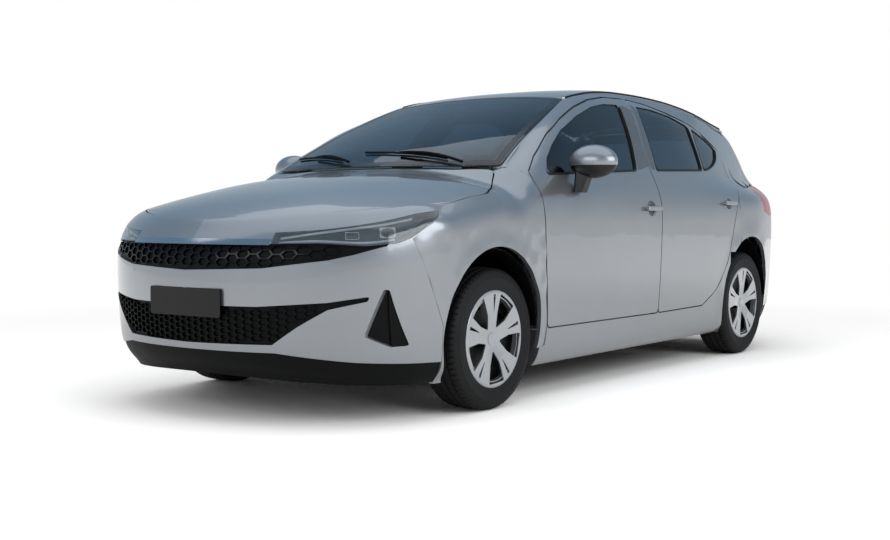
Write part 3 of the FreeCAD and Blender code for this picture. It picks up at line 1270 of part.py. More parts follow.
console_shares = (
    (0.1182, 0.121), (0.1182, 0.4738), (0.2163, 0.4738, 9), (0.2472, 0.4301), (0.2704, 0.2823),
    (0.3862, 0.2621), (0.5716, 0.2688), (0.5716, 0.2023), (0.3862, 0.2023),
    (0.2704, 0.2023, 9), (0.2472, 0.121)
)
CONSOLE_HALF = 118.0
dash = across_prism(flank_points(dash_shares), -DASH_HALF, DASH_HALF, DASH_CORNER)
console = across_prism(flank_points(console_shares), -CONSOLE_HALF, CONSOLE_HALF, DASH_CORNER / 2)
dash = dash.fuse(console).cut(fused(blocks(floor_shares)))
dash = largest(dash)
cushion_shares = (
    (0.3805, 0.2319, 3), (0.3708, 0.2755), (0.3862, 0.3226), (0.4789, 0.3105, 9),
    (0.5485, 0.289), (0.5794, 0.2554), (0.5678, 0.2218)
)
back_shares = (
    (0.5407, 0.3159), (0.562, 0.4301, 9), (0.5794, 0.578, 9), (0.5968, 0.672), (0.618, 0.6788),
    (0.6226, 0.625, 9), (0.6025, 0.4301, 9), (0.5794, 0.2655), (0.5562, 0.2688)
)
head_shares = (
    (0.5948, 0.6989), (0.5968, 0.7728), (0.6103, 0.7997), (0.6304, 0.793), (0.6334, 0.7124),
    (0.6219, 0.6922)
)
head_post_shares = (
    (0.6056, 0.6452), (0.6103, 0.7124), (0.6165, 0.7124), (0.6118, 0.6452)
)
seat_rail_shares = (
    (0.1945, 0.2517, 0.3862, 0.5601, 0.1212, 0.2352),
    (0.595, 0.6522, 0.3862, 0.5601, 0.1212, 0.2352)
)
SEAT_IN = 125.0
SEAT_OUT = 612.0
HEAD_IN = 250.0
HEAD_OUT = 488.0
POST = 12.0
SEAT_CORNER = 34.0
seat = across_prism(flank_points(cushion_shares), SEAT_IN, SEAT_OUT, SEAT_CORNER)
seat = seat.fuse(across_prism(flank_points(back_shares), SEAT_IN, SEAT_OUT, SEAT_CORNER))
seat = seat.fuse(across_prism(flank_points(head_shares), HEAD_IN, HEAD_OUT, SEAT_CORNER))
for post in (HEAD_IN + 4 * POST, HEAD_OUT - 5 * POST):
    seat = seat.fuse(across_prism(flank_points(head_post_shares), post, post + POST))
seat = largest(fused([seat] + blocks(seat_rail_shares)))
save("front_seats", [seat, mirrored(seat)])
bench_shares = (
    (0.759, 0.2419), (0.7493, 0.2823), (0.7628, 0.3293), (0.8497, 0.3159, 9), (0.9, 0.2957),
    (0.8884, 0.2372)
)
bench_back_shares = (
    (0.8633, 0.3091), (0.8884, 0.4704, 9), (0.9154, 0.6317), (0.9424, 0.6384),
    (0.9424, 0.578, 9), (0.9038, 0.2372), (0.8691, 0.2372)
)
bench_head_shares = (
    (0.9173, 0.625), (0.9212, 0.7124), (0.9463, 0.7191), (0.9463, 0.625)
)
BENCH_HALF = 640.0
BENCH_HEAD_IN = 230.0
BENCH_HEAD_OUT = 450.0
bench = across_prism(flank_points(bench_shares), -BENCH_HALF, BENCH_HALF, SEAT_CORNER)
back = across_prism(flank_points(bench_back_shares), -BENCH_HALF, BENCH_HALF, SEAT_CORNER)
side_head = across_prism(flank_points(bench_head_shares), BENCH_HEAD_IN, BENCH_HEAD_OUT, SEAT_CORNER)
bench = fused([bench, back, side_head, mirrored(side_head)])
house = rod(LINER_IN - SEAT_GAP, WHEELBASE, ARCH_Z, LINER_RADIUS + SEAT_GAP, HALF_WIDTH, (1, 0, 0))
save("rear_seat", [largest(bench.cut([house, mirrored(house)]))])
COLUMN_X = 365.0
COLUMN_Z = 880.0
COLUMN_SHARE = 0.255
WHEEL_RING = 180.0
WHEEL_GRIP = 13.0
GRIP_SIDES = 8
COLUMN_RADIUS = 22.0
COLUMN_TILT = 25.0
tilt = math.radians(COLUMN_TILT)
column_way = Vec(0, math.cos(tilt), math.sin(tilt))
hand = spot(COLUMN_X, along(COLUMN_SHARE), COLUMN_Z)
grip_points = []
for i in range(GRIP_SIDES):
    angle = 2 * math.pi * i / GRIP_SIDES
    out = Vec(WHEEL_RING + WHEEL_GRIP * math.cos(angle), 0, 0)
    grip_points.append(hand + out + column_way * (WHEEL_GRIP * math.sin(angle)))
grip = Part.Face(Part.makePolygon(grip_points + [grip_points[0]])).revolve(hand, column_way, 360)
boss = Part.makeCylinder(COLUMN_RADIUS * 2, COLUMN_RADIUS, hand - column_way * COLUMN_RADIUS, column_way)
bars = []
for angle in (0, 180, 270):
    upright_way = Vec(0, -math.sin(tilt), math.cos(tilt)) * math.sin(math.radians(angle))
    arm_way = Vec(math.cos(math.radians(angle)), 0, 0) + upright_way
    bars.append(Part.makeCylinder(WHEEL_GRIP * 0.8, WHEEL_RING, hand, arm_way))
shaft = Part.makeCylinder(COLUMN_RADIUS / 2, 4 * COLUMN_RADIUS, hand - column_way * 5 * COLUMN_RADIUS, column_way)
save("steering_wheel", [fused([grip, boss, shaft] + bars)])
column = Part.makeCylinder(COLUMN_RADIUS, 6 * COLUMN_RADIUS, hand - column_way * 8 * COLUMN_RADIUS, column_way)
shaft_hole = Part.makeCylinder(COLUMN_RADIUS / 2 + RUNNING, 4 * COLUMN_RADIUS,
                               hand - column_way * 5.5 * COLUMN_RADIUS, column_way)
column = column.cut(shaft_hole)
save("steering_column", [column])
tunnel = Part.makeCylinder(COLUMN_RADIUS + 2 * RUNNING, LENGTH, hand - column_way * 9 * COLUMN_RADIUS, column_way)
save("dashboard", [dash.cut(tunnel)])

# Mirrors and cowl
MIRROR_X = 922.0
MIRROR_OUT = 118.0
MIRROR_LONG = 72.0
MIRROR_TALL = 76.0
MIRROR_FLAT = 34.0
MIRROR_GLASS_IN = 10.0
MIRROR_RIM = 12.0
mirror_place_shares = (0.2515, 0.7065)
mirror_foot_low_shares = (
    (0.9645, 0.231), (1.0114, 0.2341), (1.0114, 0.258), (0.9645, 0.2611)
)
mirror_foot_high_shares = (
    (0.9725, 0.2341), (1.0686, 0.2418), (1.0686, 0.2611), (0.9725, 0.2642)
)
MIRROR_FOOT_LOW = 912.0
mirror_d, mirror_z = along(mirror_place_shares[0]), mirror_place_shares[1] * HEIGHT
head = ellipsoid(MIRROR_X, mirror_d, mirror_z, MIRROR_OUT, MIRROR_LONG, MIRROR_TALL)
head = head.cut(box(0, LENGTH, mirror_d + MIRROR_FLAT, LENGTH, 0, HEIGHT))
hollow = ellipsoid(MIRROR_X, mirror_d, mirror_z, MIRROR_OUT - MIRROR_RIM, MIRROR_LONG, MIRROR_TALL - MIRROR_RIM)
hollow = hollow.common(box(0, LENGTH, mirror_d + MIRROR_FLAT - MIRROR_GLASS_IN, LENGTH, 0, HEIGHT))
head = head.cut(hollow)
upper_half = box(0, LENGTH, 0, LENGTH, mirror_z, HEIGHT)
head = head.common(upper_half).fuse(head.cut(upper_half))
foot_ends = []
for shares, z in ((mirror_foot_low_shares, MIRROR_FOOT_LOW), (mirror_foot_high_shares, mirror_z)):
    foot_ends.append(rounded(plan_points(shares), MIRROR_RIM, lambda x, d: spot(x, d, z)))
foot = Part.makeLoft(foot_ends, True).cut(hollow)
mirror_left = largest(head.fuse(foot))
save("mirror_left", [mirror_left])
save("mirror_right", [mirrored(mirror_left)])

# Cowl between the bonnet and the windscreen
COWL_PLATE = 8.0
cowl_half_shares = (
    (0.0, 0.0448), (0.286, 0.0521, 9), (0.5492, 0.0715, 9), (0.7254, 0.0958), (0.7254, 0.1043),
    (0.5492, 0.0796, 9), (0.286, 0.0626, 9), (0.0, 0.0556)
)
cowl_face = deck(HALF_WIDTH * 0.8, lambda x: 0.0, lambda x: along(0.12))
cowl = layer(cowl_face, DOWN, COWL_PLATE, COWL_PLATE).common(
    tall_prism(both_sides(plan_points(cowl_half_shares)), WAIST / 2, HEIGHT))
save("cowl_panel", [cowl])
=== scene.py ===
"""Hatchback car: finishes, trim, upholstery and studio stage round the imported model."""
import json
import math

import bmesh
import bpy
from bpy.props import FloatProperty, FloatVectorProperty, PointerProperty
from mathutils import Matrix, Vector
from mathutils.bvhtree import BVHTree


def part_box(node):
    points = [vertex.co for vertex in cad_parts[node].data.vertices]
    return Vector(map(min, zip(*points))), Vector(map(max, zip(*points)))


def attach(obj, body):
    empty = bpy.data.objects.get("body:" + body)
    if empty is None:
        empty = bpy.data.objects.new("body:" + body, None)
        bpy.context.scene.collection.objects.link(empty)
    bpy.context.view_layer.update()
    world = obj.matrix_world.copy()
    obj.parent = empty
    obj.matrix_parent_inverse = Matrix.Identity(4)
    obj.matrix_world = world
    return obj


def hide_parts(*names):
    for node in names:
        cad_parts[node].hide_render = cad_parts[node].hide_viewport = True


bl_info = {
    "name": "Hatchback Car Finish",
    "version": (1, 0, 0),
    "blender": (4, 5, 0),
    "location": "View3D > Sidebar > Hatchback",
    "description": "Finishes, trim, upholstery and stage for the five-door hatchback car",
    "category": "Object",
}

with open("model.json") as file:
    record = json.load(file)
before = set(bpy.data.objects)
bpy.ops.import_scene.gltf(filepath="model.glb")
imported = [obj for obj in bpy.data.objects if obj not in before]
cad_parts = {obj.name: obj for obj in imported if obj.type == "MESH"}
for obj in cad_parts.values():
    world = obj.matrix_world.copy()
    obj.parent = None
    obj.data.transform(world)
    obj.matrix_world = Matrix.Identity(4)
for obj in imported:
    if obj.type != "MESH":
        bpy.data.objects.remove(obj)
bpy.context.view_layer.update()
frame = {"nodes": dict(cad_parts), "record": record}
NODES = frame["nodes"]

FRONT_AXLE_Y = -1.2225          # metres from the box centre, as in the part's source
WHEELBASE = 2.589


def linear(code):
    """Turns an sRGB colour, as hex such as B9BDC2 or as three shares, into a linear one with alpha 1."""
    shares = [int(code[i:i + 2], 16) / 255 for i in (0, 2, 4)] if isinstance(code, str) else code
    return (*[c / 12.92 if c <= 0.04045 else ((c + 0.055) / 1.055) ** 2.4 for c in shares], 1.0)


# materials
MATERIALS = {}
METAL_SHARE = 0.8               # how metallic the enamel's flake layer is
FLAKE = 0.0016                  # metres


def adder(tree):
    """A function that adds nodes to a node tree."""
    def add(kind, settings=None, **links):
        """Adds a node, sets its inputs or attributes, and links sockets given by name."""
        node = tree.nodes.new(kind)
        for key, value in (settings or {}).items():
            if key in node.inputs:
                node.inputs[key].default_value = value
            else:
                setattr(node, key, value)
        for key, value in links.items():
            tree.links.new(value, node.inputs[key.replace("_", " ")])
        return node

    add.link = tree.links.new
    return add


def material(name):
    """A material with its Principled shader; returns (material, shader, add)."""
    mat = bpy.data.materials.new(name)
    mat.use_nodes = True
    MATERIALS[name] = mat
    return mat, mat.node_tree.nodes["Principled BSDF"], adder(mat.node_tree)


def either(add, first, second):
    """1 where one of two light path outputs is 1."""
    most = add("ShaderNodeMath", {"operation": "MAXIMUM"})
    add.link(first, most.inputs[0])
    add.link(second, most.inputs[1])
    return most.outputs[0]


def two_tones(add, shader, share, colour, other):
    """Colours a shader between two linear colours by a share; returns the mixing node."""
    tone = add("ShaderNodeMix", {"data_type": "RGBA"})
    tone.inputs[6].default_value = colour
    tone.inputs[7].default_value = other
    add.link(share, tone.inputs[0])
    add.link(tone.outputs[2], shader.inputs["Base Color"])
    return tone


def shaded(colour, factor, lift=0.0):
    """A linear colour made darker or lighter by a factor."""
    return (*[min(c * factor + lift, 1.0) for c in linear(colour)[:3]], 1.0)


def metallic_paint(name, colour, low=None, edge=0.0):
    """Metallic automotive enamel, sprayed base coat under clear lacquer.

    Fine aluminium flake gives a satin metal glow under a glassy coat; the flake is 1.6 mm
    here, coarser than life, so that it still shows as a slight sparkle. Given a second colour,
    the enamel stops at a height and black plastic starts below it, as on the door mirrors.
    """
    mat, shader, add = material(name)
    place = add("ShaderNodeTexCoord")
    flake = add("ShaderNodeTexVoronoi", {"Scale": 1 / FLAKE}, Vector=place.outputs["Object"])
    cloud = add("ShaderNodeTexNoise", {"Scale": 1 / 0.35, "Detail": 2.0}, Vector=place.outputs["Object"])
    share = add("ShaderNodeMapRange", {"From Min": 0.3, "From Max": 0.7, "To Min": 0.0, "To Max": 0.35},
                Value=cloud.outputs["Fac"])
    tone = two_tones(add, shader, share.outputs["Result"], linear(colour), shaded(colour, 0.86))
    glint = add("ShaderNodeMapRange", {"To Min": 0.28, "To Max": 0.36}, Value=flake.outputs["Distance"])
    add.link(glint.outputs["Result"], shader.inputs["Roughness"])
    shader.inputs["Metallic"].default_value = METAL_SHARE
    shader.inputs["Coat Weight"].default_value = 1.0
    shader.inputs["Coat Roughness"].default_value = 0.03
    shader.inputs["Coat IOR"].default_value = 1.5
    if low:
        split = add("ShaderNodeSeparateXYZ", Vector=place.outputs["Object"])
        above = add("ShaderNodeMapRange", {"From Min": edge, "From Max": edge + 0.0006},
                    Value=split.outputs["Z"])
        two = two_tones(add, shader, above.outputs["Result"], linear(low), linear(low))
        add.link(tone.outputs[2], two.inputs[7])
        metal_share = add("ShaderNodeMath", {"operation": "MULTIPLY"})
        metal_share.inputs[1].default_value = METAL_SHARE
        add.link(above.outputs["Result"], metal_share.inputs[0])
        add.link(metal_share.outputs[0], shader.inputs["Metallic"])
        add.link(above.outputs["Result"], shader.inputs["Coat Weight"])
    return mat


def tinted_glass(name, colour):
    """Laminated float glass with a blue-grey solar tint; clear, very smooth, IOR 1.52."""
    mat, shader, add = material(name)
    place = add("ShaderNodeTexCoord")
    wave = add("ShaderNodeTexNoise", {"Scale": 1 / 0.6, "Detail": 1.0}, Vector=place.outputs["Object"])
    two_tones(add, shader, wave.outputs["Fac"], linear(colour), shaded(colour, 0.82))
    shader.inputs["Roughness"].default_value = 0.015
    shader.inputs["IOR"].default_value = 1.52
    shader.inputs["Transmission Weight"].default_value = 1.0
    return mat


def moulded(name, colour, roughness, grain_mm, depth, ior=1.5, gloss=0.5):
    """Moulded ABS or polypropylene; its spark-eroded grain breaks up the highlight."""
    mat, shader, add = material(name)
    place = add("ShaderNodeTexCoord")
    grain = add("ShaderNodeTexNoise", {"Scale": 1000 / grain_mm, "Detail": 4.0},
                Vector=place.outputs["Object"])
    patch = add("ShaderNodeTexNoise", {"Scale": 1 / 0.12, "Detail": 3.0}, Vector=place.outputs["Object"])
    two_tones(add, shader, patch.outputs["Fac"], linear(colour), shaded(colour, 1.35, 0.001))
    rough = add("ShaderNodeMapRange", {"To Min": roughness * 0.85, "To Max": min(roughness * 1.15, 1.0)},
                Value=patch.outputs["Fac"])
    add.link(rough.outputs["Result"], shader.inputs["Roughness"])
    bump = add("ShaderNodeBump", {"Strength": 0.35, "Distance": depth / 1000}, Height=grain.outputs["Fac"])
    add.link(bump.outputs["Normal"], shader.inputs["Normal"])
    shader.inputs["IOR"].default_value = ior
    shader.inputs["Specular IOR Level"].default_value = gloss
    return mat


def metal(name, colour, roughness, scratch_mm=6.0):
    """Bare or plated metal; fine rolling or cast marks vary the roughness."""
    mat, shader, add = material(name)
    place = add("ShaderNodeTexCoord")
    marks = add("ShaderNodeTexNoise", {"Scale": 1000 / scratch_mm, "Detail": 6.0},
                Vector=place.outputs["Object"])
    two_tones(add, shader, marks.outputs["Fac"], linear(colour), shaded(colour, 0.85))
    rough = add("ShaderNodeMapRange", {"To Min": roughness * 0.75, "To Max": roughness * 1.3},
                Value=marks.outputs["Fac"])
    add.link(rough.outputs["Result"], shader.inputs["Roughness"])
    shader.inputs["Metallic"].default_value = 1.0
    return mat


def make_materials(values):
    metallic_paint("metallic_enamel_silver", values.paint)
    metallic_paint("mirror_enamel_over_black", values.paint, "0A0B0C", 1.034)
    tinted_glass("laminated_glass_tinted", values.glass)
    moulded("polycarbonate_lens_clear", "D7DEE3", 0.05, 30.0, 0.02, 1.58)
    lens = MATERIALS["polycarbonate_lens_clear"].node_tree.nodes["Principled BSDF"]
    lens.inputs["Transmission Weight"].default_value = 0.95
    moulded("acrylic_light_guide", "E9EDF0", 0.12, 20.0, 0.02, 1.49)
    moulded("projector_glass_dark", "2A3036", 0.04, 40.0, 0.01, 1.52)
    moulded("lamp_bowl_satin_grey", "3E4247", 0.35, 4.0, 0.03)
    moulded("acrylic_lens_red", "A50A14", 0.06, 30.0, 0.02, 1.42)
    metal("chrome_plated_abs", "C9CCCF", 0.12)
    metal("mirror_silvered", "D5D8DA", 0.02, 200.0)
    moulded("polypropylene_black_grained", "060708", 0.5, 1.2, 0.08, 1.4, 0.2)
    moulded("abs_black_gloss", "040506", 0.14, 20.0, 0.01, 1.45, 0.35)
    moulded("pillar_film_dark", "4B5157", 0.16, 12.0, 0.01)
    moulded("ceramic_frit_black", "0C0D0E", 0.2, 8.0, 0.01)
    moulded("plate_enamel_grey", "3B3E41", 0.3, 6.0, 0.02)
    moulded("interior_vinyl_grey", "34363A", 0.6, 1.8, 0.15)
    moulded("headliner_cloth_pale", "A7A8A6", 0.95, 1.4, 0.2)
    # Black rubber of the window seals and roof mouldings; on the fuel flap's gap the same black is painted
    # shade.
    moulded("epdm_rubber_seal", "08090A", 0.6, 2.0, 0.05, 1.4)
    moulded("underbody_sealer", "1A1B1C", 0.75, 3.0, 0.4, 1.4, 0.3)
    moulded("chassis_black_enamel", "0F1011", 0.45, 4.0, 0.1)
    metal("cast_iron_machined", "6B6A68", 0.5)
    metal("aluminium_core", "83868A", 0.5)
    metal("stainless_exhaust_tube", "8B8680", 0.38)
    moulded("tyre_rubber_black", "0F0F10", 0.62, 2.5, 0.25, 1.45, 0.35)
    metallic_paint("wheel_silver_enamel", "B9BCC0")
    moulded("woven_seat_cloth", values.cloth, 0.9, 1.6, 0.6)


BY_SLOT = {
    "silver_paint": "metallic_enamel_silver", "tinted_glass": "laminated_glass_tinted",
    "lamp_lens": "polycarbonate_lens_clear", "red_lens": "acrylic_lens_red",
    "lamp_housing": "lamp_bowl_satin_grey", "bright_trim": "chrome_plated_abs",
    "black_plastic": "polypropylene_black_grained",
    "underbody_paint": "underbody_sealer", "black_steel": "chassis_black_enamel",
    "cast_metal": "cast_iron_machined", "core_metal": "aluminium_core",
    "exhaust_steel": "stainless_exhaust_tube", "seat_fabric": "woven_seat_cloth",
    "tyre_rubber": "tyre_rubber_black", "wheel_silver": "wheel_silver_enamel",
}


def dress_nodes():
    """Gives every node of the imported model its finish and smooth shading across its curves."""
    slots = {row["node"]: row["material_slot"] for row in frame["record"]["subparts"]}
    for name, node in NODES.items():
        mesh = node.data
        mesh.polygons.foreach_set("use_smooth", [True] * len(mesh.polygons))
        mesh.set_sharp_from_angle(angle=math.radians(28))
        finish = "mirror_enamel_over_black" if name.startswith("mirror_") else BY_SLOT[slots[name]]
        mat = MATERIALS[finish]
        if mesh.materials:
            for i in range(len(mesh.materials)):
                mesh.materials[i] = mat
        else:
            mesh.materials.append(mat)


# shared makers
def finish_piece(name, mesh, body, finish, slot, smooth_deg=30.0, replaces=()):
    """Puts a mesh in the scene as a piece that rides on a body."""
    mesh.validate()
    mesh.polygons.foreach_set("use_smooth", [True] * len(mesh.polygons))
    mesh.set_sharp_from_angle(angle=math.radians(smooth_deg))
    for one in ([finish] if isinstance(finish, str) else finish):
        mesh.materials.append(MATERIALS[one])
    piece = bpy.data.objects.new(name, mesh)
    bpy.context.scene.collection.objects.link(piece)
    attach(piece, body)
    if replaces:
        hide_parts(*replaces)
    return piece


def mesh_from(name, points, faces, marks=None):
    mesh = bpy.data.meshes.new(name)
    mesh.from_pydata([tuple(p) for p in points], [], faces)
    if marks:
        mesh.polygons.foreach_set("material_index", marks)
    return mesh


def grid_faces(rows, columns, closed_rows=False, closed_columns=False, flip=False):
    """Quads over a grid of points stored row by row."""
    faces = []
    for r in range(rows if closed_rows else rows - 1):
        for c in range(columns if closed_columns else columns - 1):
            a, b = r * columns + c, r * columns + (c + 1) % columns
            n = ((r + 1) % rows) * columns
            quad = (a, b, n + (c + 1) % columns, n + c)
            faces.append(quad[::-1] if flip else quad)
    return faces


def outward_faces(mesh):
    bm = bmesh.new()
    bm.from_mesh(mesh)
    bmesh.ops.recalc_face_normals(bm, faces=bm.faces)
    bm.to_mesh(mesh)
    bm.free()


def single(name, parts, body, finish, slot):
    """One piece out of one or several (points, faces), with its faces turned outwards."""
    points, faces, _ = join_meshes(parts)
    mesh = mesh_from(name, points, faces)
    outward_faces(mesh)
    return finish_piece(name, mesh, body, finish, slot)


def skin_tree(*nodes):
    """A tree for casting rays at the solids of some nodes."""
    points, faces = [], []
    for node in nodes:
        mesh = NODES[node].data
        start = len(points)
        points += [v.co.copy() for v in mesh.vertices]
        faces += [[start + i for i in p.vertices] for p in mesh.polygons]
    return BVHTree.FromPolygons(points, faces)


def struck(tree, start, way, axis, other=None):
    """One coordinate of a ray's first hit, or another value where it misses."""
    found = tree.ray_cast(Vector(start), Vector(way))[0]
    return found[axis] if found is not None else other


def side_of(name):
    return -1 if name.endswith("_right") else 1


# tyres
TYRE_HALF_PROFILE = (   # (radius, outward) in mm from the bead to the crown, 185/60 R15
    (190.2, 76), (192, 79.5), (198, 82.5), (206, 85.5), (209, 87.6), (212, 87.2), (224, 90.4), (238, 92.0),
    (252, 92.2), (255, 93.0), (258, 91.6), (268, 89.4), (277, 86.0), (283, 82.6), (287.5, 79.0), (291, 75.0),
    (293.2, 71.0), (294.6, 66.0), (295.4, 61.0), (295.9, 56.5), (296.1, 54.5), (296.3, 51.5), (296.4, 48.5),
    (296.5, 46.5), (296.7, 38.0), (296.8, 29.0), (296.8, 21.5), (296.85, 19.5), (296.9, 16.5), (296.9, 13.5),
    (296.9, 11.5), (297, 5.5), (297, 0))
GROOVES = ((51.5, 48.5), (16.5, 13.5))
SIPE_MM = 4.0
PITCHES = 72
PITCH_STEPS = 6


def tyre_mesh(name, centre, outward, groove):
    """A radial tyre: moulded ribs and sipes on the tread, rim guard and mould rings on the wall."""
    half = list(TYRE_HALF_PROFILE)
    profile = half + [(r, -x) for r, x in reversed(half[:-1])]
    inner = [(196, -60), (230, -74), (262, -70), (284, -40), (286, 0),
             (284, 40), (262, 70), (230, 74), (196, 60)]
    profile = profile + inner
    points = []
    turns = PITCHES * PITCH_STEPS
    for k in range(turns):
        for r, x in profile:
            drop = 0.0
            if r > 283 and abs(x) > 0 or r >= 297:
                if any(lo <= abs(x) <= hi for hi, lo in GROOVES):
                    drop = groove
                shoulder = abs(x) > 54 and r > 286
                middle = 18 < abs(x) < 48
                lag = int(abs(x) / 9) if middle else (0 if shoulder else 3)
                step = (k + (lag if x > 0 else -lag)) % PITCH_STEPS
                if drop == 0.0 and (shoulder or middle) and step == 0 and r > 286:
                    drop = SIPE_MM * (1.0 if shoulder else 0.8)
            angle = 2 * math.pi * k / turns
            rr = (r - drop) / 1000
            points.append((centre[0] + outward * x / 1000, centre[1] + rr * math.sin(angle),
                           centre[2] + rr * math.cos(angle)))
    faces = grid_faces(turns, len(profile), closed_rows=True, closed_columns=True, flip=outward < 0)
    return mesh_from(name, points, faces)


def wheel_centre(node):
    low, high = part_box(node)
    return (low + high) / 2


def make_tyres(values):
    for node in ("tyre_front_left", "tyre_front_right", "tyre_rear_left", "tyre_rear_right"):
        mesh = tyre_mesh(node + "_treaded", wheel_centre(node), side_of(node), values.tread_depth * 1000)
        finish_piece(node + "_treaded", mesh, node.replace("tyre", "wheel"), "tyre_rubber_black",
                     "tyre_rubber", smooth_deg=24, replaces=[node])


# grilles
def hex_mesh(name, tree, x_range, z_range, cell, wall, depth, inside):
    """Honeycomb vanes laid on the nose: each cell a six-sided tube, drawn where the solids are hit."""
    points, faces = [], []
    rise = cell * 0.5 * math.sqrt(3) * 0.62      # cells are wider than tall, as on the car
    count_x = int((x_range[1] - x_range[0]) / (cell * 0.75)) + 2
    count_z = int((z_range[1] - z_range[0]) / rise) + 2

    def reach(x, z):
        return struck(tree, (x, -4.0, z), (0, 1, 0), 1)

    for i in range(count_x):
        for j in range(count_z):
            cx = x_range[0] + i * cell * 0.75
            cz = z_range[0] + j * rise + (rise / 2 if i % 2 else 0)
            outer, inner = [], []
            for k in range(6):
                a = math.pi / 3 * k
                ox, oz = math.cos(a) * cell / 2, math.sin(a) * rise / 2 / math.sin(math.pi / 3)
                outer.append((cx + ox, cz + oz))
                shrink = 1 - wall / (cell / 2)
                inner.append((cx + ox * shrink, cz + oz * shrink))
            if not all(inside(x, z) for x, z in outer):
                continue
            ys = [reach(x, z) for x, z in outer + inner]
            if any(y is None for y in ys) or max(ys) - min(ys) > cell * 1.5:
                continue
            base = len(points)
            for (x, z), y in zip(outer + inner, ys):
                points.append((x, y - depth, z))
            for (x, z), y in zip(inner, ys[6:]):
                points.append((x, y, z))
            for k in range(6):
                n = (k + 1) % 6
                faces.append((base + k, base + n, base + 6 + n, base + 6 + k))
                faces.append((base + 6 + k, base + 6 + n, base + 12 + n, base + 12 + k))
    return mesh_from(name, points, faces)


def make_grilles(values):
    tree = skin_tree("front_grille")
    upper = hex_mesh("upper_grille_mesh", tree, (-0.74, 0.74), (0.598, 0.712), values.mesh_cell, 0.0045,
                     0.010, lambda x, z: z > 0.55)
    finish_piece("upper_grille_mesh", upper, "car_body", "abs_black_gloss", "black_plastic")
    lower = hex_mesh("lower_grille_mesh", tree, (-0.56, 0.56), (0.318, 0.46), 0.046, 0.0028,
                     0.010, lambda x, z: z < 0.5)
    finish_piece("lower_grille_mesh", lower, "car_body", "polypropylene_black_grained", "black_plastic")


# trims laid on the skin
def rounded_loop(points, radius, steps=5):
    """A closed outline with its corners rounded; points are (a, b) or (a, b, share)."""
    out = []
    count = len(points)
    for i in range(count):
        p = Vector(points[i][:2])
        size = radius * (points[i][2] if len(points[i]) > 2 else 1)
        a, b = Vector(points[i - 1][:2]) - p, Vector(points[(i + 1) % count][:2]) - p
        reach = min(size, 0.45 * a.length, 0.45 * b.length)
        start, end = p + a.normalized() * reach, p + b.normalized() * reach
        for k in range(steps + 1):
            t = k / steps
            out.append(start * (1 - t) ** 2 + p * 2 * t * (1 - t) + end * t ** 2)
    return out


def resampled(loop, gap):
    """Even points round a closed outline."""
    lengths = [(loop[i] - loop[i - 1]).length for i in range(len(loop))]
    total = sum(lengths)
    count = max(int(total / gap), 12)
    out, i, done = [], 0, 0.0
    for k in range(count):
        want = total * k / count
        while done + lengths[(i + 1) % len(loop)] < want and i < len(loop) - 1:
            i += 1
            done += lengths[i % len(loop)]
        a, b = loop[i % len(loop)], loop[(i + 1) % len(loop)]
        span = max((b - a).length, 1e-9)
        out.append(a.lerp(b, min((want - done) / span, 1.0)))
    return out


def offset_loop(loop, gap):
    """The outline moved outwards by a gap."""
    area = sum(loop[i - 1].x * loop[i].y - loop[i].x * loop[i - 1].y for i in range(len(loop)))
    turn = 1 if area > 0 else -1
    out = []
    count = len(loop)
    for i in range(count):
        way = loop[(i + 1) % count] - loop[i - 1]
        way = way.normalized() if way.length > 1e-9 else Vector((1, 0))
        out.append(loop[i] + Vector((way.y, -way.x)) * gap * turn)
    return out


def flank_x(tree, y, z, default=None):
    return struck(tree, (1.2, y, z), (-1, 0, 0), 0, default)


def seal_mesh(tree, outline, corner, width, inner, proud, thick):
    """A black strip of constant width round an outline of (y, z), lying on the left flank: a rubber seal
    round a window, painted shade in the fuel flap's gap.
    """
    loop = resampled(rounded_loop(outline, corner), 0.012)
    rings = [offset_loop(loop, inner + width * share) for share in (0, 0.5, 1)]
    reach = [flank_x(tree, p.x, p.y) for p in offset_loop(loop, 0.006)]
    last = next(r for r in reach if r is not None)
    for i, r in enumerate(reach):
        last = r if r is not None else last
        reach[i] = last
    points = []
    levels = ((0, -thick), (0, proud * 0.6), (1, proud), (2, proud * 0.4), (2, -thick))
    for ring, lift in levels:
        for p, x in zip(rings[ring], reach):
            points.append((x + lift, p.x, p.y))
    return points, grid_faces(len(levels), len(loop), closed_rows=True, closed_columns=True, flip=True)


def sheet_rim(rows, columns):
    """The indices round the border of a sheet of points with rows + 1 by columns + 1 of them."""
    rim = list(range(columns)) + [r * (columns + 1) + columns for r in range(rows)]
    rim += [rows * (columns + 1) + c for c in range(columns, 0, -1)]
    return rim + [r * (columns + 1) for r in range(rows, 0, -1)]


def both_flanks(name, points, faces, bodies, finish, slot, **more):
    """The piece on the left and its mirror image on the right."""
    for end, sign in (("_left", 1), ("_right", -1)):
        moved = [(p[0] * sign, p[1], p[2]) for p in points]
        mesh = mesh_from(name + end, moved, faces if sign > 0 else [f[::-1] for f in faces])
        finish_piece(name + end, mesh, bodies + end, finish, slot, **more)


def at(d, z):
    """A place on the flank: station d mm behind the front axle and height z mm, as (y, z) in metres."""
    return (d / 1000 + FRONT_AXLE_Y, z / 1000)


FRONT_WINDOW = ((450, 992), (1294, 1030), (1415, 1249, 4), (1487, 1379), (1308, 1372, 4), (1158, 1347, 4),
                (950, 1287, 4), (738, 1205, 4), (600, 1130, 4), (505, 1066, 2))
REAR_WINDOW = ((1522, 1037), (2140, 1054), (2203, 1197, 4), (2257, 1310), (2081, 1356, 4), (1876, 1381, 4),
               (1687, 1385), (1592, 1210, 4))
QUARTER_WINDOW = ((2166, 1056), (2230, 1060, 2), (2360, 1085, 3), (2480, 1125, 3), (2552, 1190, 1),
                  (2470, 1243, 4), (2300, 1301), (2230, 1197, 4))


def outline(table):
    return [at(p[0], p[1]) + tuple(p[2:]) for p in table]


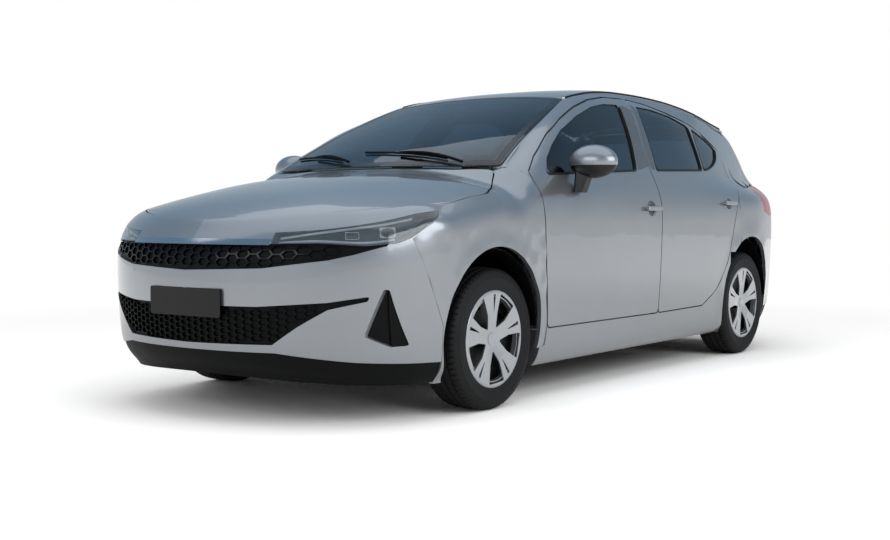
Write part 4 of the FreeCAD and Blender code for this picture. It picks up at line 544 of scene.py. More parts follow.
def make_seals(values):
    front, rear = skin_tree("front_door_left"), skin_tree("rear_door_left")
    for name, tree, table, body in (("front_window_seal", front, FRONT_WINDOW, "front_door"),
                                    ("rear_window_seal", rear, REAR_WINDOW, "rear_door"),
                                    ("quarter_window_seal", rear, QUARTER_WINDOW, "rear_door")):
        points, faces = seal_mesh(tree, outline(table), 0.022, values.seal_width, -0.006, 0.0025, 0.012)
        both_flanks(name, points, faces, body, "epdm_rubber_seal", "black_plastic")


def tube_points(path, radius, sides=8, scale=None):
    """A round tube along a list of points, its rings square to the path."""
    points, faces = [], []
    count = len(path)
    up = Vector((0, 0, 1))
    for i, p in enumerate(path):
        way = (path[min(i + 1, count - 1)] - path[max(i - 1, 0)]).normalized()
        side = way.cross(up)
        side = side.normalized() if side.length > 1e-6 else Vector((1, 0, 0))
        top = side.cross(way).normalized()
        size = radius * (scale[i] if scale else 1)
        for k in range(sides):
            a = 2 * math.pi * k / sides
            points.append(p + (side * math.cos(a) + top * math.sin(a)) * size)
    faces = grid_faces(count, sides, closed_columns=True)
    faces.append(list(range(sides))[::-1])
    faces.append([(count - 1) * sides + k for k in range(sides)])
    return points, faces


def join_meshes(parts):
    points, faces, marks = [], [], []
    for n, (pts, fcs) in enumerate(parts):
        start = len(points)
        points += list(pts)
        faces += [[start + i for i in f] for f in fcs]
        marks += [n] * len(fcs)
    return points, faces, marks


# wipers
def make_wipers():
    tree = skin_tree("windscreen", "cowl_panel", "hood")

    def down(x, y):
        return struck(tree, (x, y, 2.0), (0, 0, -1), 2, 1.0)

    parts = []
    for pivot, tip in (((0.50, 0.225), (-0.10, 0.262)), ((-0.12, 0.176), (-0.60, 0.345))):
        ends = [(x, d + FRONT_AXLE_Y) for x, d in (pivot, tip)]
        arm = []
        for k in range(9):
            t = k / 8
            x = ends[0][0] + (ends[1][0] - ends[0][0]) * t * 0.62
            y = ends[0][1] + (ends[1][1] - ends[0][1]) * t * 0.62
            arm.append(Vector((x, y, down(x, y) + 0.016 + 0.010 * math.sin(math.pi * t))))
        parts.append(tube_points(arm, 0.007, 6))
        blade = []
        for k in range(15):
            t = 0.16 + 0.84 * k / 14
            x = ends[0][0] + (ends[1][0] - ends[0][0]) * t
            y = ends[0][1] + (ends[1][1] - ends[0][1]) * t + 0.012
            blade.append(Vector((x, y, down(x, y) + 0.008)))
        parts.append(tube_points(blade, 0.0055, 6))
    single("wiper_arms", parts, "car_body", "polypropylene_black_grained", "black_plastic")


# plates
PLATE_BACK = -2.1676            # y of the front plate's back, on the foremost point of the bumper
PLATE_Z = 0.474
PLATE_HALF = (0.200, 0.056)
PLATE_THICK = 0.005


def box_outline(half_w, half_h):
    return [(-half_w, -half_h), (half_w, -half_h), (half_w, half_h), (-half_w, half_h)]


def make_plates():
    loop = rounded_loop(box_outline(*PLATE_HALF), 0.012)
    count = len(loop)
    points = [(p.x, PLATE_BACK - lift, PLATE_Z + p.y) for lift in (0, PLATE_THICK) for p in loop]
    faces = [list(range(count)), list(range(count, 2 * count))[::-1]]
    faces += [(i, count + i, count + (i + 1) % count, (i + 1) % count) for i in range(count)]
    single("front_plate_blank", [(points, faces)], "car_body", "abs_black_gloss", "black_plastic")


# upholstery
CUSHION = ((995, 352), (972, 405), (1005, 462), (1240, 447), (1415, 416), (1480, 378), (1455, 345))
BACKREST = ((1432, 440), (1470, 640), (1512, 860), (1552, 985), (1594, 992), (1598, 930), (1552, 640),
            (1498, 410))
HEADREST = ((1549, 1052), (1556, 1142), (1584, 1172), (1622, 1166), (1630, 1070), (1606, 1042))
BENCH = ((1985, 372), (1956, 420), (1990, 474), (2200, 456), (2310, 430), (2285, 362))
BENCH_BACK = ((2252, 462), (2316, 700), (2384, 928), (2430, 936), (2428, 860), (2340, 372), (2268, 372))
BENCH_HEAD = ((2390, 942), (2400, 1048), (2440, 1056), (2440, 940))


def prism_mesh(name, table, x0, x1, corner, inset):
    """A block with a rounded side outline, drawn in so that stuffing can swell it."""
    loop = offset_loop(resampled(rounded_loop([at(*p) for p in table], corner), 0.02), -inset)
    count = len(loop)
    points = [(x, p.x, p.y) for x in (x0 + inset, x1 - inset) for p in loop]
    faces = [list(range(count))[::-1], list(range(count, 2 * count))]
    faces += [(i, (i + 1) % count, count + (i + 1) % count, count + i) for i in range(count)]
    mesh = mesh_from(name, points, faces)
    outward_faces(mesh)
    return mesh


INSET = 0.012                   # how far a pad's block is drawn in before it swells
CLOTH_STIFFNESS = 18
CLOTH_STEPS = 17
CHANNEL_DEPTH = 0.009


def stuffed(name, table, x0, x1, corner, voxel, pressure, most, channels):
    """Remeshes the block, blows it up as stuffed cloth, and presses in its sewn channels."""
    mesh = prism_mesh(name, table, x0, x1, corner, INSET)
    pad = bpy.data.objects.new(name, mesh)
    bpy.context.scene.collection.objects.link(pad)
    bpy.context.view_layer.objects.active = pad
    for one in bpy.context.selected_objects:
        one.select_set(False)
    pad.select_set(True)
    grid = pad.modifiers.new("even_mesh", "REMESH")
    grid.mode = "VOXEL"
    grid.voxel_size = voxel
    bpy.ops.object.modifier_apply(modifier=grid.name)
    rest = [v.co.copy() for v in pad.data.vertices]
    cloth = pad.modifiers.new("stuffing", "CLOTH")
    cloth.settings.use_pressure = True
    cloth.settings.uniform_pressure_force = pressure
    cloth.settings.tension_stiffness = CLOTH_STIFFNESS
    cloth.settings.compression_stiffness = CLOTH_STIFFNESS
    cloth.settings.bending_stiffness = 0.8
    cloth.settings.effector_weights.gravity = 0
    scene = bpy.context.scene
    for step in range(1, CLOTH_STEPS):
        scene.frame_set(step)
    bpy.ops.object.modifier_apply(modifier=cloth.name)
    scene.frame_set(1)
    for v, start in zip(pad.data.vertices, rest):
        move = v.co - start
        if move.length > most:
            v.co = start + move * (most / move.length)
    normals = [n.vector.copy() for n in pad.data.vertex_normals]
    for v, n in zip(pad.data.vertices, normals):
        dip = 0.0
        for centre, half in channels:
            dip = max(dip, math.exp(-((v.co.x - centre) / half) ** 2))
        v.co -= n * CHANNEL_DEPTH * dip
    round_off = pad.modifiers.new("soft_skin", "SUBSURF")
    round_off.levels = round_off.render_levels = 1
    bpy.ops.object.modifier_apply(modifier=round_off.name)
    pad.data.polygons.foreach_set("use_smooth", [True] * len(pad.data.polygons))
    return pad


def place_pad(pad, finish, replaces=None):
    pad.data.materials.clear()
    pad.data.materials.append(MATERIALS[finish])
    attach(pad, "car_body")
    if replaces:
        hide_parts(replaces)


def mirrored_copy(pad, name):
    mesh = pad.data.copy()
    mesh.name = name
    for v in mesh.vertices:
        v.co.x = -v.co.x
    mesh.flip_normals()
    twin = bpy.data.objects.new(name, mesh)
    bpy.context.scene.collection.objects.link(twin)
    return twin


def make_seats(values):
    ribs = ((0.215, 0.008), (0.52, 0.008))          # x of each sewn channel and its half width
    bench_ribs = ((-0.2, 0.008), (0.2, 0.008))
    made = []
    for name, table, x0, x1, channels in (("seat_cushion", CUSHION, 0.128, 0.608, ribs),
                                          ("seat_backrest", BACKREST, 0.128, 0.608, ribs),
                                          ("seat_headrest", HEADREST, 0.252, 0.486, ())):
        left = stuffed(name + "_left", table, x0, x1, 0.045, 0.014, values.stuffing, 0.016, channels)
        right = mirrored_copy(left, name + "_right")
        made += [left, right]
    for name, table in (("bench_cushion", BENCH), ("bench_backrest", BENCH_BACK)):
        made.append(stuffed(name, table, -0.62, 0.62, 0.045, 0.018, values.stuffing, 0.018, bench_ribs))
    left = stuffed("bench_headrest_left", BENCH_HEAD, 0.235, 0.445, 0.03, 0.012, values.stuffing, 0.012, ())
    made += [left, mirrored_copy(left, "bench_headrest_right")]
    stand_for = {"seat_cushion_left": "front_seats", "bench_cushion": "rear_seat"}
    for pad in made:
        place_pad(pad, "woven_seat_cloth", stand_for.get(pad.name))
    make_seat_frames()


def block(low, high):
    """A plain box between two corners."""
    points = [(x, y, z) for x in (low[0], high[0]) for y in (low[1], high[1]) for z in (low[2], high[2])]
    faces = [(0, 1, 3, 2), (4, 6, 7, 5), (0, 4, 5, 1), (2, 3, 7, 6), (0, 2, 6, 4), (1, 5, 7, 3)]
    return points, faces


def make_seat_frames():
    """Runners under the front seats and the steel posts of all headrests."""
    tree = skin_tree("floor_pan")
    parts = []
    for x in (0.195, 0.545):
        first, last = 1035 / 1000 + FRONT_AXLE_Y, 1420 / 1000 + FRONT_AXLE_Y
        for y in (first, last):
            floor = struck(tree, (x, y, 0.40), (0, 0, -1), 2, 0.24)
            parts.append(block((x - 0.014, y - 0.03, floor), (x + 0.014, y + 0.03, 0.345)))
        parts.append(block((x - 0.018, first - 0.03, 0.328), (x + 0.018, last + 0.04, 0.362)))
    for x, low, high in ((0.322, (1578, 960), (1588, 1090)), (0.416, (1578, 960), (1588, 1090)),
                         (0.290, (2408, 905), (2418, 985)), (0.390, (2408, 905), (2418, 985))):
        parts.append(tube_points([Vector((x, *at(*low))), Vector((x, *at(*high)))], 0.006, 8))
    both_sides("seat_frames", parts, "car_body", "chassis_black_enamel", "black_steel")


# lamps, garnish, interior trim and small fittings
def towards(way):
    """Two axes square to a direction: across it (level) and up."""
    way = Vector(way).normalized()
    across = Vector((-way.y, way.x, 0)).normalized()
    return way, across, across.cross(way) * -1


def slab(centre, way, half_w, half_h, thick, corner=0.004, bulge=0.0):
    """A flat block with rounded corners whose front faces along a direction."""
    way, across, up = towards(way)
    centre = Vector(centre)
    loop = rounded_loop(box_outline(half_w, half_h), corner, 4)
    count = len(loop)
    points = [centre + across * p.x + up * p.y - way * thick for p in loop]
    points += [centre + across * p.x + up * p.y for p in loop]
    points.append(centre + way * bulge)
    faces = [list(range(count))]
    faces += [(i, i + count, (i + 1) % count + count, (i + 1) % count) for i in range(count)]
    faces += [(i + count, 2 * count, (i + 1) % count + count) for i in range(count)]
    return points, faces


def disc(centre, way, half_w, half_h, thick, dome, sides=40, rings=4):
    """A round or oval cap with a slightly domed front."""
    way, across, up = towards(way)
    centre = Vector(centre)
    points = [centre + across * (half_w * math.cos(a)) + up * (half_h * math.sin(a)) - way * thick
              for a in (2 * math.pi * k / sides for k in range(sides))]
    for r in range(rings):
        t = 1 - r / rings
        for k in range(sides):
            a = 2 * math.pi * k / sides
            flat = across * (half_w * math.cos(a)) + up * (half_h * math.sin(a))
            points.append(centre + flat * t + way * dome * (1 - t * t))
    points.append(centre + way * dome)
    faces = grid_faces(rings + 1, sides, closed_columns=True)
    last = rings * sides
    faces += [(last + k, last + (k + 1) % sides, len(points) - 1) for k in range(sides)]
    faces.append(list(range(sides))[::-1])
    return points, faces


def both_sides(name, parts, bodies, finish, slot, **more):
    """Joined meshes on the left and their mirror image on the right."""
    points, faces, _ = join_meshes(parts)
    for end, sign in (("_left", 1), ("_right", -1)):
        mesh = mesh_from(name + end, [(p[0] * sign, p[1], p[2]) for p in points], faces)
        outward_faces(mesh)
        body = bodies if bodies == "car_body" else bodies + end
        finish_piece(name + end, mesh, body, finish, slot, **more)


LAMP_UPPER = ((416, -836, 722), (531, -763, 742), (640, -681, 760), (716, -607, 773), (782, -500, 795))
LAMP_LOWER = ((412, -843, 706), (531, -768, 713), (630, -700, 708), (700, -650, 708), (770, -590, 718))
LAMP_EYE = (655, -700, 733)
LAMP_WAY = (0.68, -0.73, 0.0)
LAMP_SMALL_EYE = (745, -600, 745)


def on_lens(tree, point, depth):
    """The place some depth behind the lens, near a point given in station millimetres."""
    start = Vector((point[0] / 1000, point[1] / 1000 + FRONT_AXLE_Y, point[2] / 1000))
    way = Vector(LAMP_WAY).normalized()
    found = tree.ray_cast(start + way * 0.3, -way)
    base = found[0] if found[0] is not None else start
    return base - way * depth


def smooth_path(points, steps):
    """Points along a curve through the given ones."""
    out = []
    count = len(points)
    for i in range(count - 1):
        a, b = points[max(i - 1, 0)], points[i]
        c, d = points[i + 1], points[min(i + 2, count - 1)]
        for k in range(steps):
            t = k / steps
            out.append(0.5 * ((2 * b) + (c - a) * t + (2 * a - 5 * b + 4 * c - d) * t * t
                              + (3 * b - a - 3 * c + d) * t ** 3))
    out.append(points[-1])
    return out


def make_lamp_internals():
    tree = skin_tree("headlamp_lenses")
    guides = []
    for table in (LAMP_UPPER, LAMP_LOWER):
        path = smooth_path([on_lens(tree, p, 0.012) for p in table], 5)
        guides.append(tube_points(path, 0.0045, 8))
    both_sides("lamp_light_guides", guides, "car_body", "acrylic_light_guide", "lamp_lens")
    eye = on_lens(tree, LAMP_EYE, 0.030)
    small = on_lens(tree, LAMP_SMALL_EYE, 0.028)
    frames = [slab(eye, LAMP_WAY, 0.026, 0.014, 0.008, 0.004),
              slab(small, LAMP_WAY, 0.030, 0.020, 0.008, 0.006)]
    both_sides("lamp_bezels", frames, "car_body", "chrome_plated_abs", "bright_trim")
    way = Vector(LAMP_WAY).normalized()
    lenses = [slab(eye + way * 0.004, LAMP_WAY, 0.0235, 0.0120, 0.006, 0.003, 0.004),
              disc(small + way * 0.003, LAMP_WAY, 0.026, 0.0175, 0.004, 0.008)]
    both_sides("lamp_projectors", lenses, "car_body", "projector_glass_dark", "lamp_lens")


PILLAR_FRONT = ((1312, 1034), (1441, 1041), (1482, 1165, 4), (1585, 1341, 4), (1602, 1374), (1500, 1378),
                (1426, 1249, 4))
PILLAR_REAR = ((1460, 1042), (1512, 1040), (1582, 1210, 4), (1674, 1382), (1634, 1394), (1610, 1341, 4),
               (1502, 1165, 4))
FUEL_FLAP = ((2723, 1098, 2), (2690, 1054, 2), (2688, 1004, 2), (2736, 974, 2), (2900, 978, 2),
             (2908, 1040, 2), (2850, 1092, 2))


def filled_patch(tree, table, corner, gap, proud, thick):
    """A thin plate that follows the flank inside an outline, filled with a grid of quads."""
    loop = rounded_loop([at(*p[:2]) + tuple(p[2:]) for p in table], corner, 4)
    low_z = min(p.y for p in loop) + 0.001
    high_z = max(p.y for p in loop) - 0.001
    rows = max(int((high_z - low_z) / gap), 4)
    columns = 6
    points = []
    for lift in (proud, -thick):
        for r in range(rows + 1):
            z = low_z + (high_z - low_z) * r / rows
            cuts = []
            for i in range(len(loop)):
                a, b = loop[i - 1], loop[i]
                if (a.y - z) * (b.y - z) <= 0 and abs(a.y - b.y) > 1e-9:
                    cuts.append(a.x + (b.x - a.x) * (z - a.y) / (b.y - a.y))
            first, last = min(cuts), max(cuts)
            for c in range(columns + 1):
                y = first + (last - first) * c / columns
                points.append((flank_x(tree, y, z, 0.7) + lift, y, z))
    size = (rows + 1) * (columns + 1)
    faces = grid_faces(rows + 1, columns + 1)
    faces += [tuple(i + size for i in face[::-1]) for face in grid_faces(rows + 1, columns + 1)]
    rim = sheet_rim(rows, columns)
    for i, a in enumerate(rim):
        b = rim[(i + 1) % len(rim)]
        faces.append((a, a + size, b + size, b))
    return points, faces


def make_garnish():
    for name, node, table in (("front_pillar_garnish", "front_door", PILLAR_FRONT),
                              ("rear_pillar_garnish", "rear_door", PILLAR_REAR)):
        tree = skin_tree(node + "_left")
        both_sides(name, [filled_patch(tree, table, 0.006, 0.02, 0.0006, 0.002)], node,
                   "pillar_film_dark", "black_plastic")
    # The fuel flap's gap is drawn as a thin black strip laid on the flank: painted shade standing for the
    # dark of the gap, not a rubber part.
    tree = skin_tree("side_frame_left")
    points, faces = seal_mesh(tree, outline(FUEL_FLAP), 0.03, 0.003, 0.0, 0.0012, 0.003)
    mesh = mesh_from("fuel_flap_painted_gap_shade", points, faces)
    finish_piece("fuel_flap_painted_gap_shade", mesh, "car_body", "epdm_rubber_seal", "black_plastic")


DITCH = ((512, 1085), (519, 1200), (521, 1500), (521, 1900), (521, 2300), (521, 2650), (522, 2935))


def make_ditch():
    tree = skin_tree("roof_panel", "side_frame_left")
    path = []
    for first, last in zip(DITCH, DITCH[1:]):
        for k in range(8):
            x = (first[0] + (last[0] - first[0]) * k / 8) / 1000 + 0.0015
            y = (first[1] + (last[1] - first[1]) * k / 8) / 1000 + FRONT_AXLE_Y
            top = struck(tree, (x - 0.006, y, 2.0), (0, 0, -1), 2, 0.0)
            if top > 1.0:
                path.append(Vector((x, y, top - 0.001)))
    both_sides("roof_ditch_moulding", [tube_points(path, 0.0045, 8)], "car_body",
               "epdm_rubber_seal", "black_plastic")


DOOR_CARDS = (("front_door", 450, 1380, 350, 955), ("rear_door", 1510, 2240, 470, 955))


def make_door_cards():
    for node, first, last, low, high in DOOR_CARDS:
        tree = skin_tree(node + "_left")
        rows, columns = 16, 22
        points, hits = [], []
        for lift in (0.001, 0.009):
            for r in range(rows + 1):
                for c in range(columns + 1):
                    y = (first + (last - first) * c / columns) / 1000 + FRONT_AXLE_Y
                    z = (low + (high - low) * r / rows) / 1000
                    wall = struck(tree, (0.3, y, z), (1, 0, 0), 0, 1.0)
                    hits.append(wall < 0.83)
                    points.append((wall - lift if wall < 0.83 else 0.77, y, z))
        size = (rows + 1) * (columns + 1)
        kept = {f for f in grid_faces(rows + 1, columns + 1)
                if all(hits[i] for i in f)
                and max(points[i][0] for i in f) - min(points[i][0] for i in f) < 0.03}
        faces = [tuple(i + size for i in f) for f in kept] + [f[::-1] for f in kept]
        edges = {}
        for f in kept:
            for i in range(4):
                edges[(f[i], f[(i + 1) % 4])] = True
        for a, b in edges:
            if (b, a) not in edges:
                faces.append((a, b, b + size, a + size))
        used = sorted({i for f in faces for i in f})
        place = {old: new for new, old in enumerate(used)}
        points = [points[i] for i in used]
        faces = [tuple(place[i] for i in f) for f in faces]
        middle = (first + last) / 2
        rest = []
        for k in range(9):
            y = (middle - 190 + 380 * k / 8) / 1000 + FRONT_AXLE_Y
            rest.append(Vector((struck(tree, (0.3, y, 0.70), (1, 0, 0), 0, 0.79) - 0.028, y, 0.70)))
        both_sides(node + "_card", [(points, faces), tube_points(rest, 0.020, 10)], node,
                   "interior_vinyl_grey", "black_plastic")


def make_headliner():
    tree = skin_tree("roof_panel")
    rows, columns = 20, 16
    points = []
    for lift in (0.003, 0.009):
        for r in range(rows + 1):
            for c in range(columns + 1):
                x = -0.49 + 0.98 * c / columns
                y = (1130 + 1780 * r / rows) / 1000 + FRONT_AXLE_Y
                points.append((x, y, struck(tree, (x, y, 1.0), (0, 0, 1), 2, 1.38) - lift))
    size = (rows + 1) * (columns + 1)
    flat = grid_faces(rows + 1, columns + 1)
    faces = flat + [tuple(i + size for i in f[::-1]) for f in flat]
    rim = sheet_rim(rows, columns)
    for i, a in enumerate(rim):
        b = rim[(i + 1) % len(rim)]
        faces.append((a, b, b + size, a + size))
    single("headliner", [(points, faces)], "car_body", "headliner_cloth_pale", "seat_fabric")


def make_rear_view_mirror():
    tree = skin_tree("windscreen")
    y = 1005 / 1000 + FRONT_AXLE_Y
    top = struck(tree, (0, y, 1.0), (0, 0, 1), 2, 1.38)
    stem = tube_points([Vector((0, y, top - 0.002)), Vector((0, y + 0.02, top - 0.05))], 0.008, 8)
    glass = slab((0, y + 0.035, top - 0.075), (0, 1, -0.12), 0.115, 0.032, 0.022, 0.012)
    single("rear_view_mirror", [stem, glass], "car_body", "abs_black_gloss", "black_plastic")


SCREEN_EDGE = ((0, 154), (250, 172), (480, 217), (655, 290), (617, 502), (582, 732), (547, 900), (512, 1047),
               (300, 1074), (0, 1086))


def make_screen_band():
    tree = skin_tree("windscreen")
    loop = [Vector((x / 1000, d / 1000 + FRONT_AXLE_Y)) for x, d in SCREEN_EDGE]
    loop += [Vector((-p.x, p.y)) for p in reversed(loop[1:-1])]
    loop = resampled(loop, 0.02)
    rings = [offset_loop(loop, -0.004), offset_loop(loop, -0.034)]
    points = []
    for lift in (0.0006, -0.0010):
        for ring in rings:
            for p in ring:
                points.append((p.x, p.y, struck(tree, (p.x, p.y, 2.0), (0, 0, -1), 2, 1.0) + lift))
    count = len(loop)
    order = (0, 1, 3, 2)
    points = [points[level * count + i] for level in order for i in range(count)]
    faces = grid_faces(4, count, closed_rows=True, closed_columns=True)
    single("screen_black_band", [(points, faces)], "car_body", "ceramic_frit_black", "black_plastic")


def make_mirror_glass():
    y = 0.2515 * WHEELBASE + 0.024 + FRONT_AXLE_Y
    both_sides("mirror_glass", [disc((0.922, y + 0.002, 1.0513), (0, 1, 0), 0.098, 0.058, 0.0015, 0.0006)],
               "front_door", "mirror_silvered", "bright_trim")


def make_caps():
    for axle, track, d in (("front", 1.481, 0.0), ("rear", 1.472, WHEELBASE)):
        y = d + FRONT_AXLE_Y
        cap = disc((track / 2 + 0.0755, y, 0.297), (1, 0, 0), 0.029, 0.029, 0.010, 0.002)
        both_sides("centre_cap_" + axle, [cap], "wheel_" + axle, "wheel_silver_enamel", "wheel_silver")


def make_rear_fittings():
    tree = skin_tree("tailgate", "tailgate_glass")

    def back(x, z, lift):
        return Vector((x, struck(tree, (x, 3.0, z), (0, -1, 0), 1, 2.1) + lift, z))

    path = [back(-0.02 + 0.30 * k / 10, 1.065 + 0.012 * k / 10, 0.010) for k in range(11)]
    parts = [tube_points(path, 0.0055, 6),
             disc(back(-0.02, 1.062, 0.014), (0, 1, 0), 0.017, 0.017, 0.016, 0.004)]
    single("rear_wiper", parts, "tailgate", "polypropylene_black_grained", "black_plastic")
    base = max(back(x, z, 0.0).y for x in (-0.26, 0, 0.26) for z in (0.735, 0.845))
    plate = slab((0, base + 0.006, 0.79), (0, 1, 0), 0.26, 0.0565, 0.012, 0.012)
    single("rear_plate_blank", [plate], "tailgate", "plate_enamel_grey", "black_plastic")
    parts = []
    for sign in (-1, 1):
        parts.append(slab(back(sign * 0.12, 0.872, 0.004), (0, 1, -0.4), 0.022, 0.008, 0.008, 0.003))
    handle = [back(-0.30 + 0.60 * k / 12, 0.892, 0.004) for k in range(13)]
    parts.append(tube_points(handle, 0.010, 8))
    single("tailgate_grip", parts, "tailgate", "chrome_plated_abs", "bright_trim")


# stage
FLOOR_SIZE = 60.0
FLOOR_Z = -0.0005
WHITE_FROM, WHITE_TO = 2.9, 5.5     # metres from the car's middle over which the floor turns plain white
CAMERA_WHITE = 1.5                  # the floor's colour to the camera, so that the lamps can stay low
SKY = ((0.0, "DADDE0"), (0.16, "B7C4CF"), (0.42, "86A2BA"), (1.0, "6C8CA8"))    # horizon to zenith
SKY_STRENGTH = 0.85
LAMPS = (("left_softbox", (5.2, -1.0, 2.6), (5.0, 2.2), 90.0),
         ("front_softbox", (-1.0, -7.0, 3.0), (5.0, 2.0), 60.0))
CAMERA_PLACE = (3.7035, -5.4654, 0.8241)
CAMERA_TURN = (90 - 2.6825, 0, 36.435)
CAMERA_LENS = 50.05


def make_floor():
    """A matt white board that keeps the car's shadow; far off it is plain white, with no horizon."""
    bpy.ops.mesh.primitive_plane_add(size=FLOOR_SIZE, location=(0, 0, FLOOR_Z))
    floor = bpy.context.object
    floor.name = "studio_floor"
    mat, shader, add = material("matt_white_floor")
    shader.inputs["Roughness"].default_value = 0.9
    shader.inputs["Specular IOR Level"].default_value = 0.1
    place = add("ShaderNodeTexCoord")
    ray = add("ShaderNodeLightPath")
    speck = add("ShaderNodeTexNoise", {"Scale": 40.0}, Vector=place.outputs["Object"])
    bump = add("ShaderNodeBump", {"Strength": 0.02, "Distance": 0.001}, Height=speck.outputs["Fac"])
    add.link(bump.outputs["Normal"], shader.inputs["Normal"])
    two_tones(add, shader, ray.outputs["Is Camera Ray"], linear("F4F4F4"), (*[CAMERA_WHITE] * 3, 1.0))
    away = add("ShaderNodeVectorMath", {"operation": "LENGTH"})
    add.link(place.outputs["Object"], away.inputs[0])
    far = add("ShaderNodeMapRange", {"From Min": WHITE_FROM, "From Max": WHITE_TO},
              Value=away.outputs["Value"])
    through = either(add, ray.outputs["Is Glossy Ray"], ray.outputs["Is Transmission Ray"])
    share = add("ShaderNodeMath", {"operation": "MULTIPLY"})
    add.link(far.outputs["Result"], share.inputs[0])
    add.link(either(add, ray.outputs["Is Camera Ray"], through), share.inputs[1])
    glow = add("ShaderNodeEmission", {"Color": (1, 1, 1, 1), "Strength": 1.0})
    blend = add("ShaderNodeMixShader")
    add.link(share.outputs[0], blend.inputs[0])
    add.link(shader.outputs["BSDF"], blend.inputs[1])
    add.link(glow.outputs["Emission"], blend.inputs[2])
    add.link(blend.outputs["Shader"], mat.node_tree.nodes["Material Output"].inputs["Surface"])
    floor.data.materials.append(mat)


def make_world():
    """White to the camera, neutral light on matt things, blue-grey sky mirrored in paint and glass."""
    world = bpy.data.worlds.new("studio_world")
    bpy.context.scene.world = world
    world.use_nodes = True
    world.node_tree.nodes.clear()
    add = adder(world.node_tree)
    ray = add("ShaderNodeLightPath")
    place = add("ShaderNodeTexCoord")
    split = add("ShaderNodeSeparateXYZ", Vector=place.outputs["Generated"])
    ramp = add("ShaderNodeValToRGB", Fac=split.outputs["Z"])
    stops = ramp.color_ramp.elements
    for stop, (height, colour) in zip((stops[0], stops[1]), (SKY[0], SKY[-1])):
        stop.position, stop.color = height, linear(colour)
    for height, colour in SKY[1:-1]:
        stops.new(height).color = linear(colour)
    sky = add("ShaderNodeMix", {"data_type": "RGBA"})
    sky.inputs[6].default_value = linear("C9C9C8")
    add.link(either(add, ray.outputs["Is Glossy Ray"], ray.outputs["Is Transmission Ray"]), sky.inputs[0])
    add.link(ramp.outputs["Color"], sky.inputs[7])
    soft = add("ShaderNodeBackground", {"Strength": SKY_STRENGTH}, Color=sky.outputs[2])
    white = add("ShaderNodeBackground", {"Color": (1, 1, 1, 1), "Strength": 1.0})
    mix = add("ShaderNodeMixShader", Fac=ray.outputs["Is Camera Ray"])
    add.link(soft.outputs["Background"], mix.inputs[1])
    add.link(white.outputs["Background"], mix.inputs[2])
    add("ShaderNodeOutputWorld", Surface=mix.outputs["Shader"])


def make_stage(values):
    make_floor()
    make_world()
    ceiling = ("ceiling_softbox", (0, -0.6, 4.2), (7.0, 5.0), values.lamp_power)
    for name, place, size, power in (ceiling, *LAMPS):
        lamp = bpy.data.lights.new(name, "AREA")
        lamp.shape = "RECTANGLE"
        lamp.size, lamp.size_y = size
        lamp.energy = power
        obj = bpy.data.objects.new(name, lamp)
        obj.location = place
        obj.rotation_mode = "QUATERNION"
        obj.rotation_quaternion = (Vector((0, 0, 0.5)) - Vector(place)).to_track_quat("-Z", "Y")
        bpy.context.scene.collection.objects.link(obj)
    view = bpy.data.cameras.new("photo_camera")
    view.sensor_width = 36.0
    view.lens = CAMERA_LENS
    view.clip_end = 200.0
    camera = bpy.data.objects.new("photo_camera", view)
    camera.location = CAMERA_PLACE
    camera.rotation_euler = [math.radians(turn) for turn in CAMERA_TURN]
    bpy.context.scene.collection.objects.link(camera)
    bpy.context.scene.camera = camera
    bpy.context.scene.view_settings.view_transform = "Standard"


# settings, operators and panel
class HatchbackSettings(bpy.types.PropertyGroup):
    paint: FloatVectorProperty(name="Body paint", description="Base coat under the lacquer, sRGB",
                               subtype="COLOR_GAMMA", size=3, default=(0.625, 0.640, 0.660))
    glass: FloatVectorProperty(name="Glass tint", description="Colour of the solar glass, sRGB",
                               subtype="COLOR_GAMMA", size=3, default=(0.42, 0.52, 0.58))
    cloth: FloatVectorProperty(name="Seat cloth", description="Colour of the woven upholstery, sRGB",
                               subtype="COLOR_GAMMA", size=3, default=(0.15, 0.16, 0.17))
    seal_width: FloatProperty(name="Seal width", description="Width of the window rubbers",
                              default=0.010, unit="LENGTH")
    tread_depth: FloatProperty(name="Tread depth", description="Depth of the tyres' round grooves",
                               default=0.0065, unit="LENGTH")
    mesh_cell: FloatProperty(name="Grille cell", description="Width of a cell of the upper grille",
                             default=0.062, unit="LENGTH")
    stuffing: FloatProperty(name="Seat stuffing", description="Pressure that swells the seat pads' cloth",
                            default=5.0)
    lamp_power: FloatProperty(name="Ceiling lamp", description="Power of the ceiling softbox",
                              default=70.0, unit="POWER")


class HATCHBACK_OT_finishes(bpy.types.Operator):
    """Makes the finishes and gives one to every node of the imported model"""
    bl_idname = "hatchback.finishes"
    bl_label = "Finishes"
    bl_options = {"REGISTER", "UNDO"}

    def execute(self, context):
        make_materials(context.scene.hatchback)
        dress_nodes()
        return {"FINISHED"}


class HATCHBACK_OT_stage(bpy.types.Operator):
    """Lays the floor and sets the lamps, the world and the camera"""
    bl_idname = "hatchback.stage"
    bl_label = "Stage"
    bl_options = {"REGISTER", "UNDO"}

    def execute(self, context):
        make_stage(context.scene.hatchback)
        return {"FINISHED"}


class HATCHBACK_OT_tyres(bpy.types.Operator):
    """Moulds the four treaded tyres"""
    bl_idname = "hatchback.tyres"
    bl_label = "Tyres"
    bl_options = {"REGISTER", "UNDO"}

    def execute(self, context):
        make_tyres(context.scene.hatchback)
        return {"FINISHED"}


class HATCHBACK_OT_grilles(bpy.types.Operator):
    """Lays the honeycomb vanes in the upper and lower grille"""
    bl_idname = "hatchback.grilles"
    bl_label = "Grilles"
    bl_options = {"REGISTER", "UNDO"}

    def execute(self, context):
        make_grilles(context.scene.hatchback)
        return {"FINISHED"}


class HATCHBACK_OT_seals(bpy.types.Operator):
    """Runs the window rubbers round the side glass"""
    bl_idname = "hatchback.seals"
    bl_label = "Window seals"
    bl_options = {"REGISTER", "UNDO"}

    def execute(self, context):
        make_seals(context.scene.hatchback)
        return {"FINISHED"}


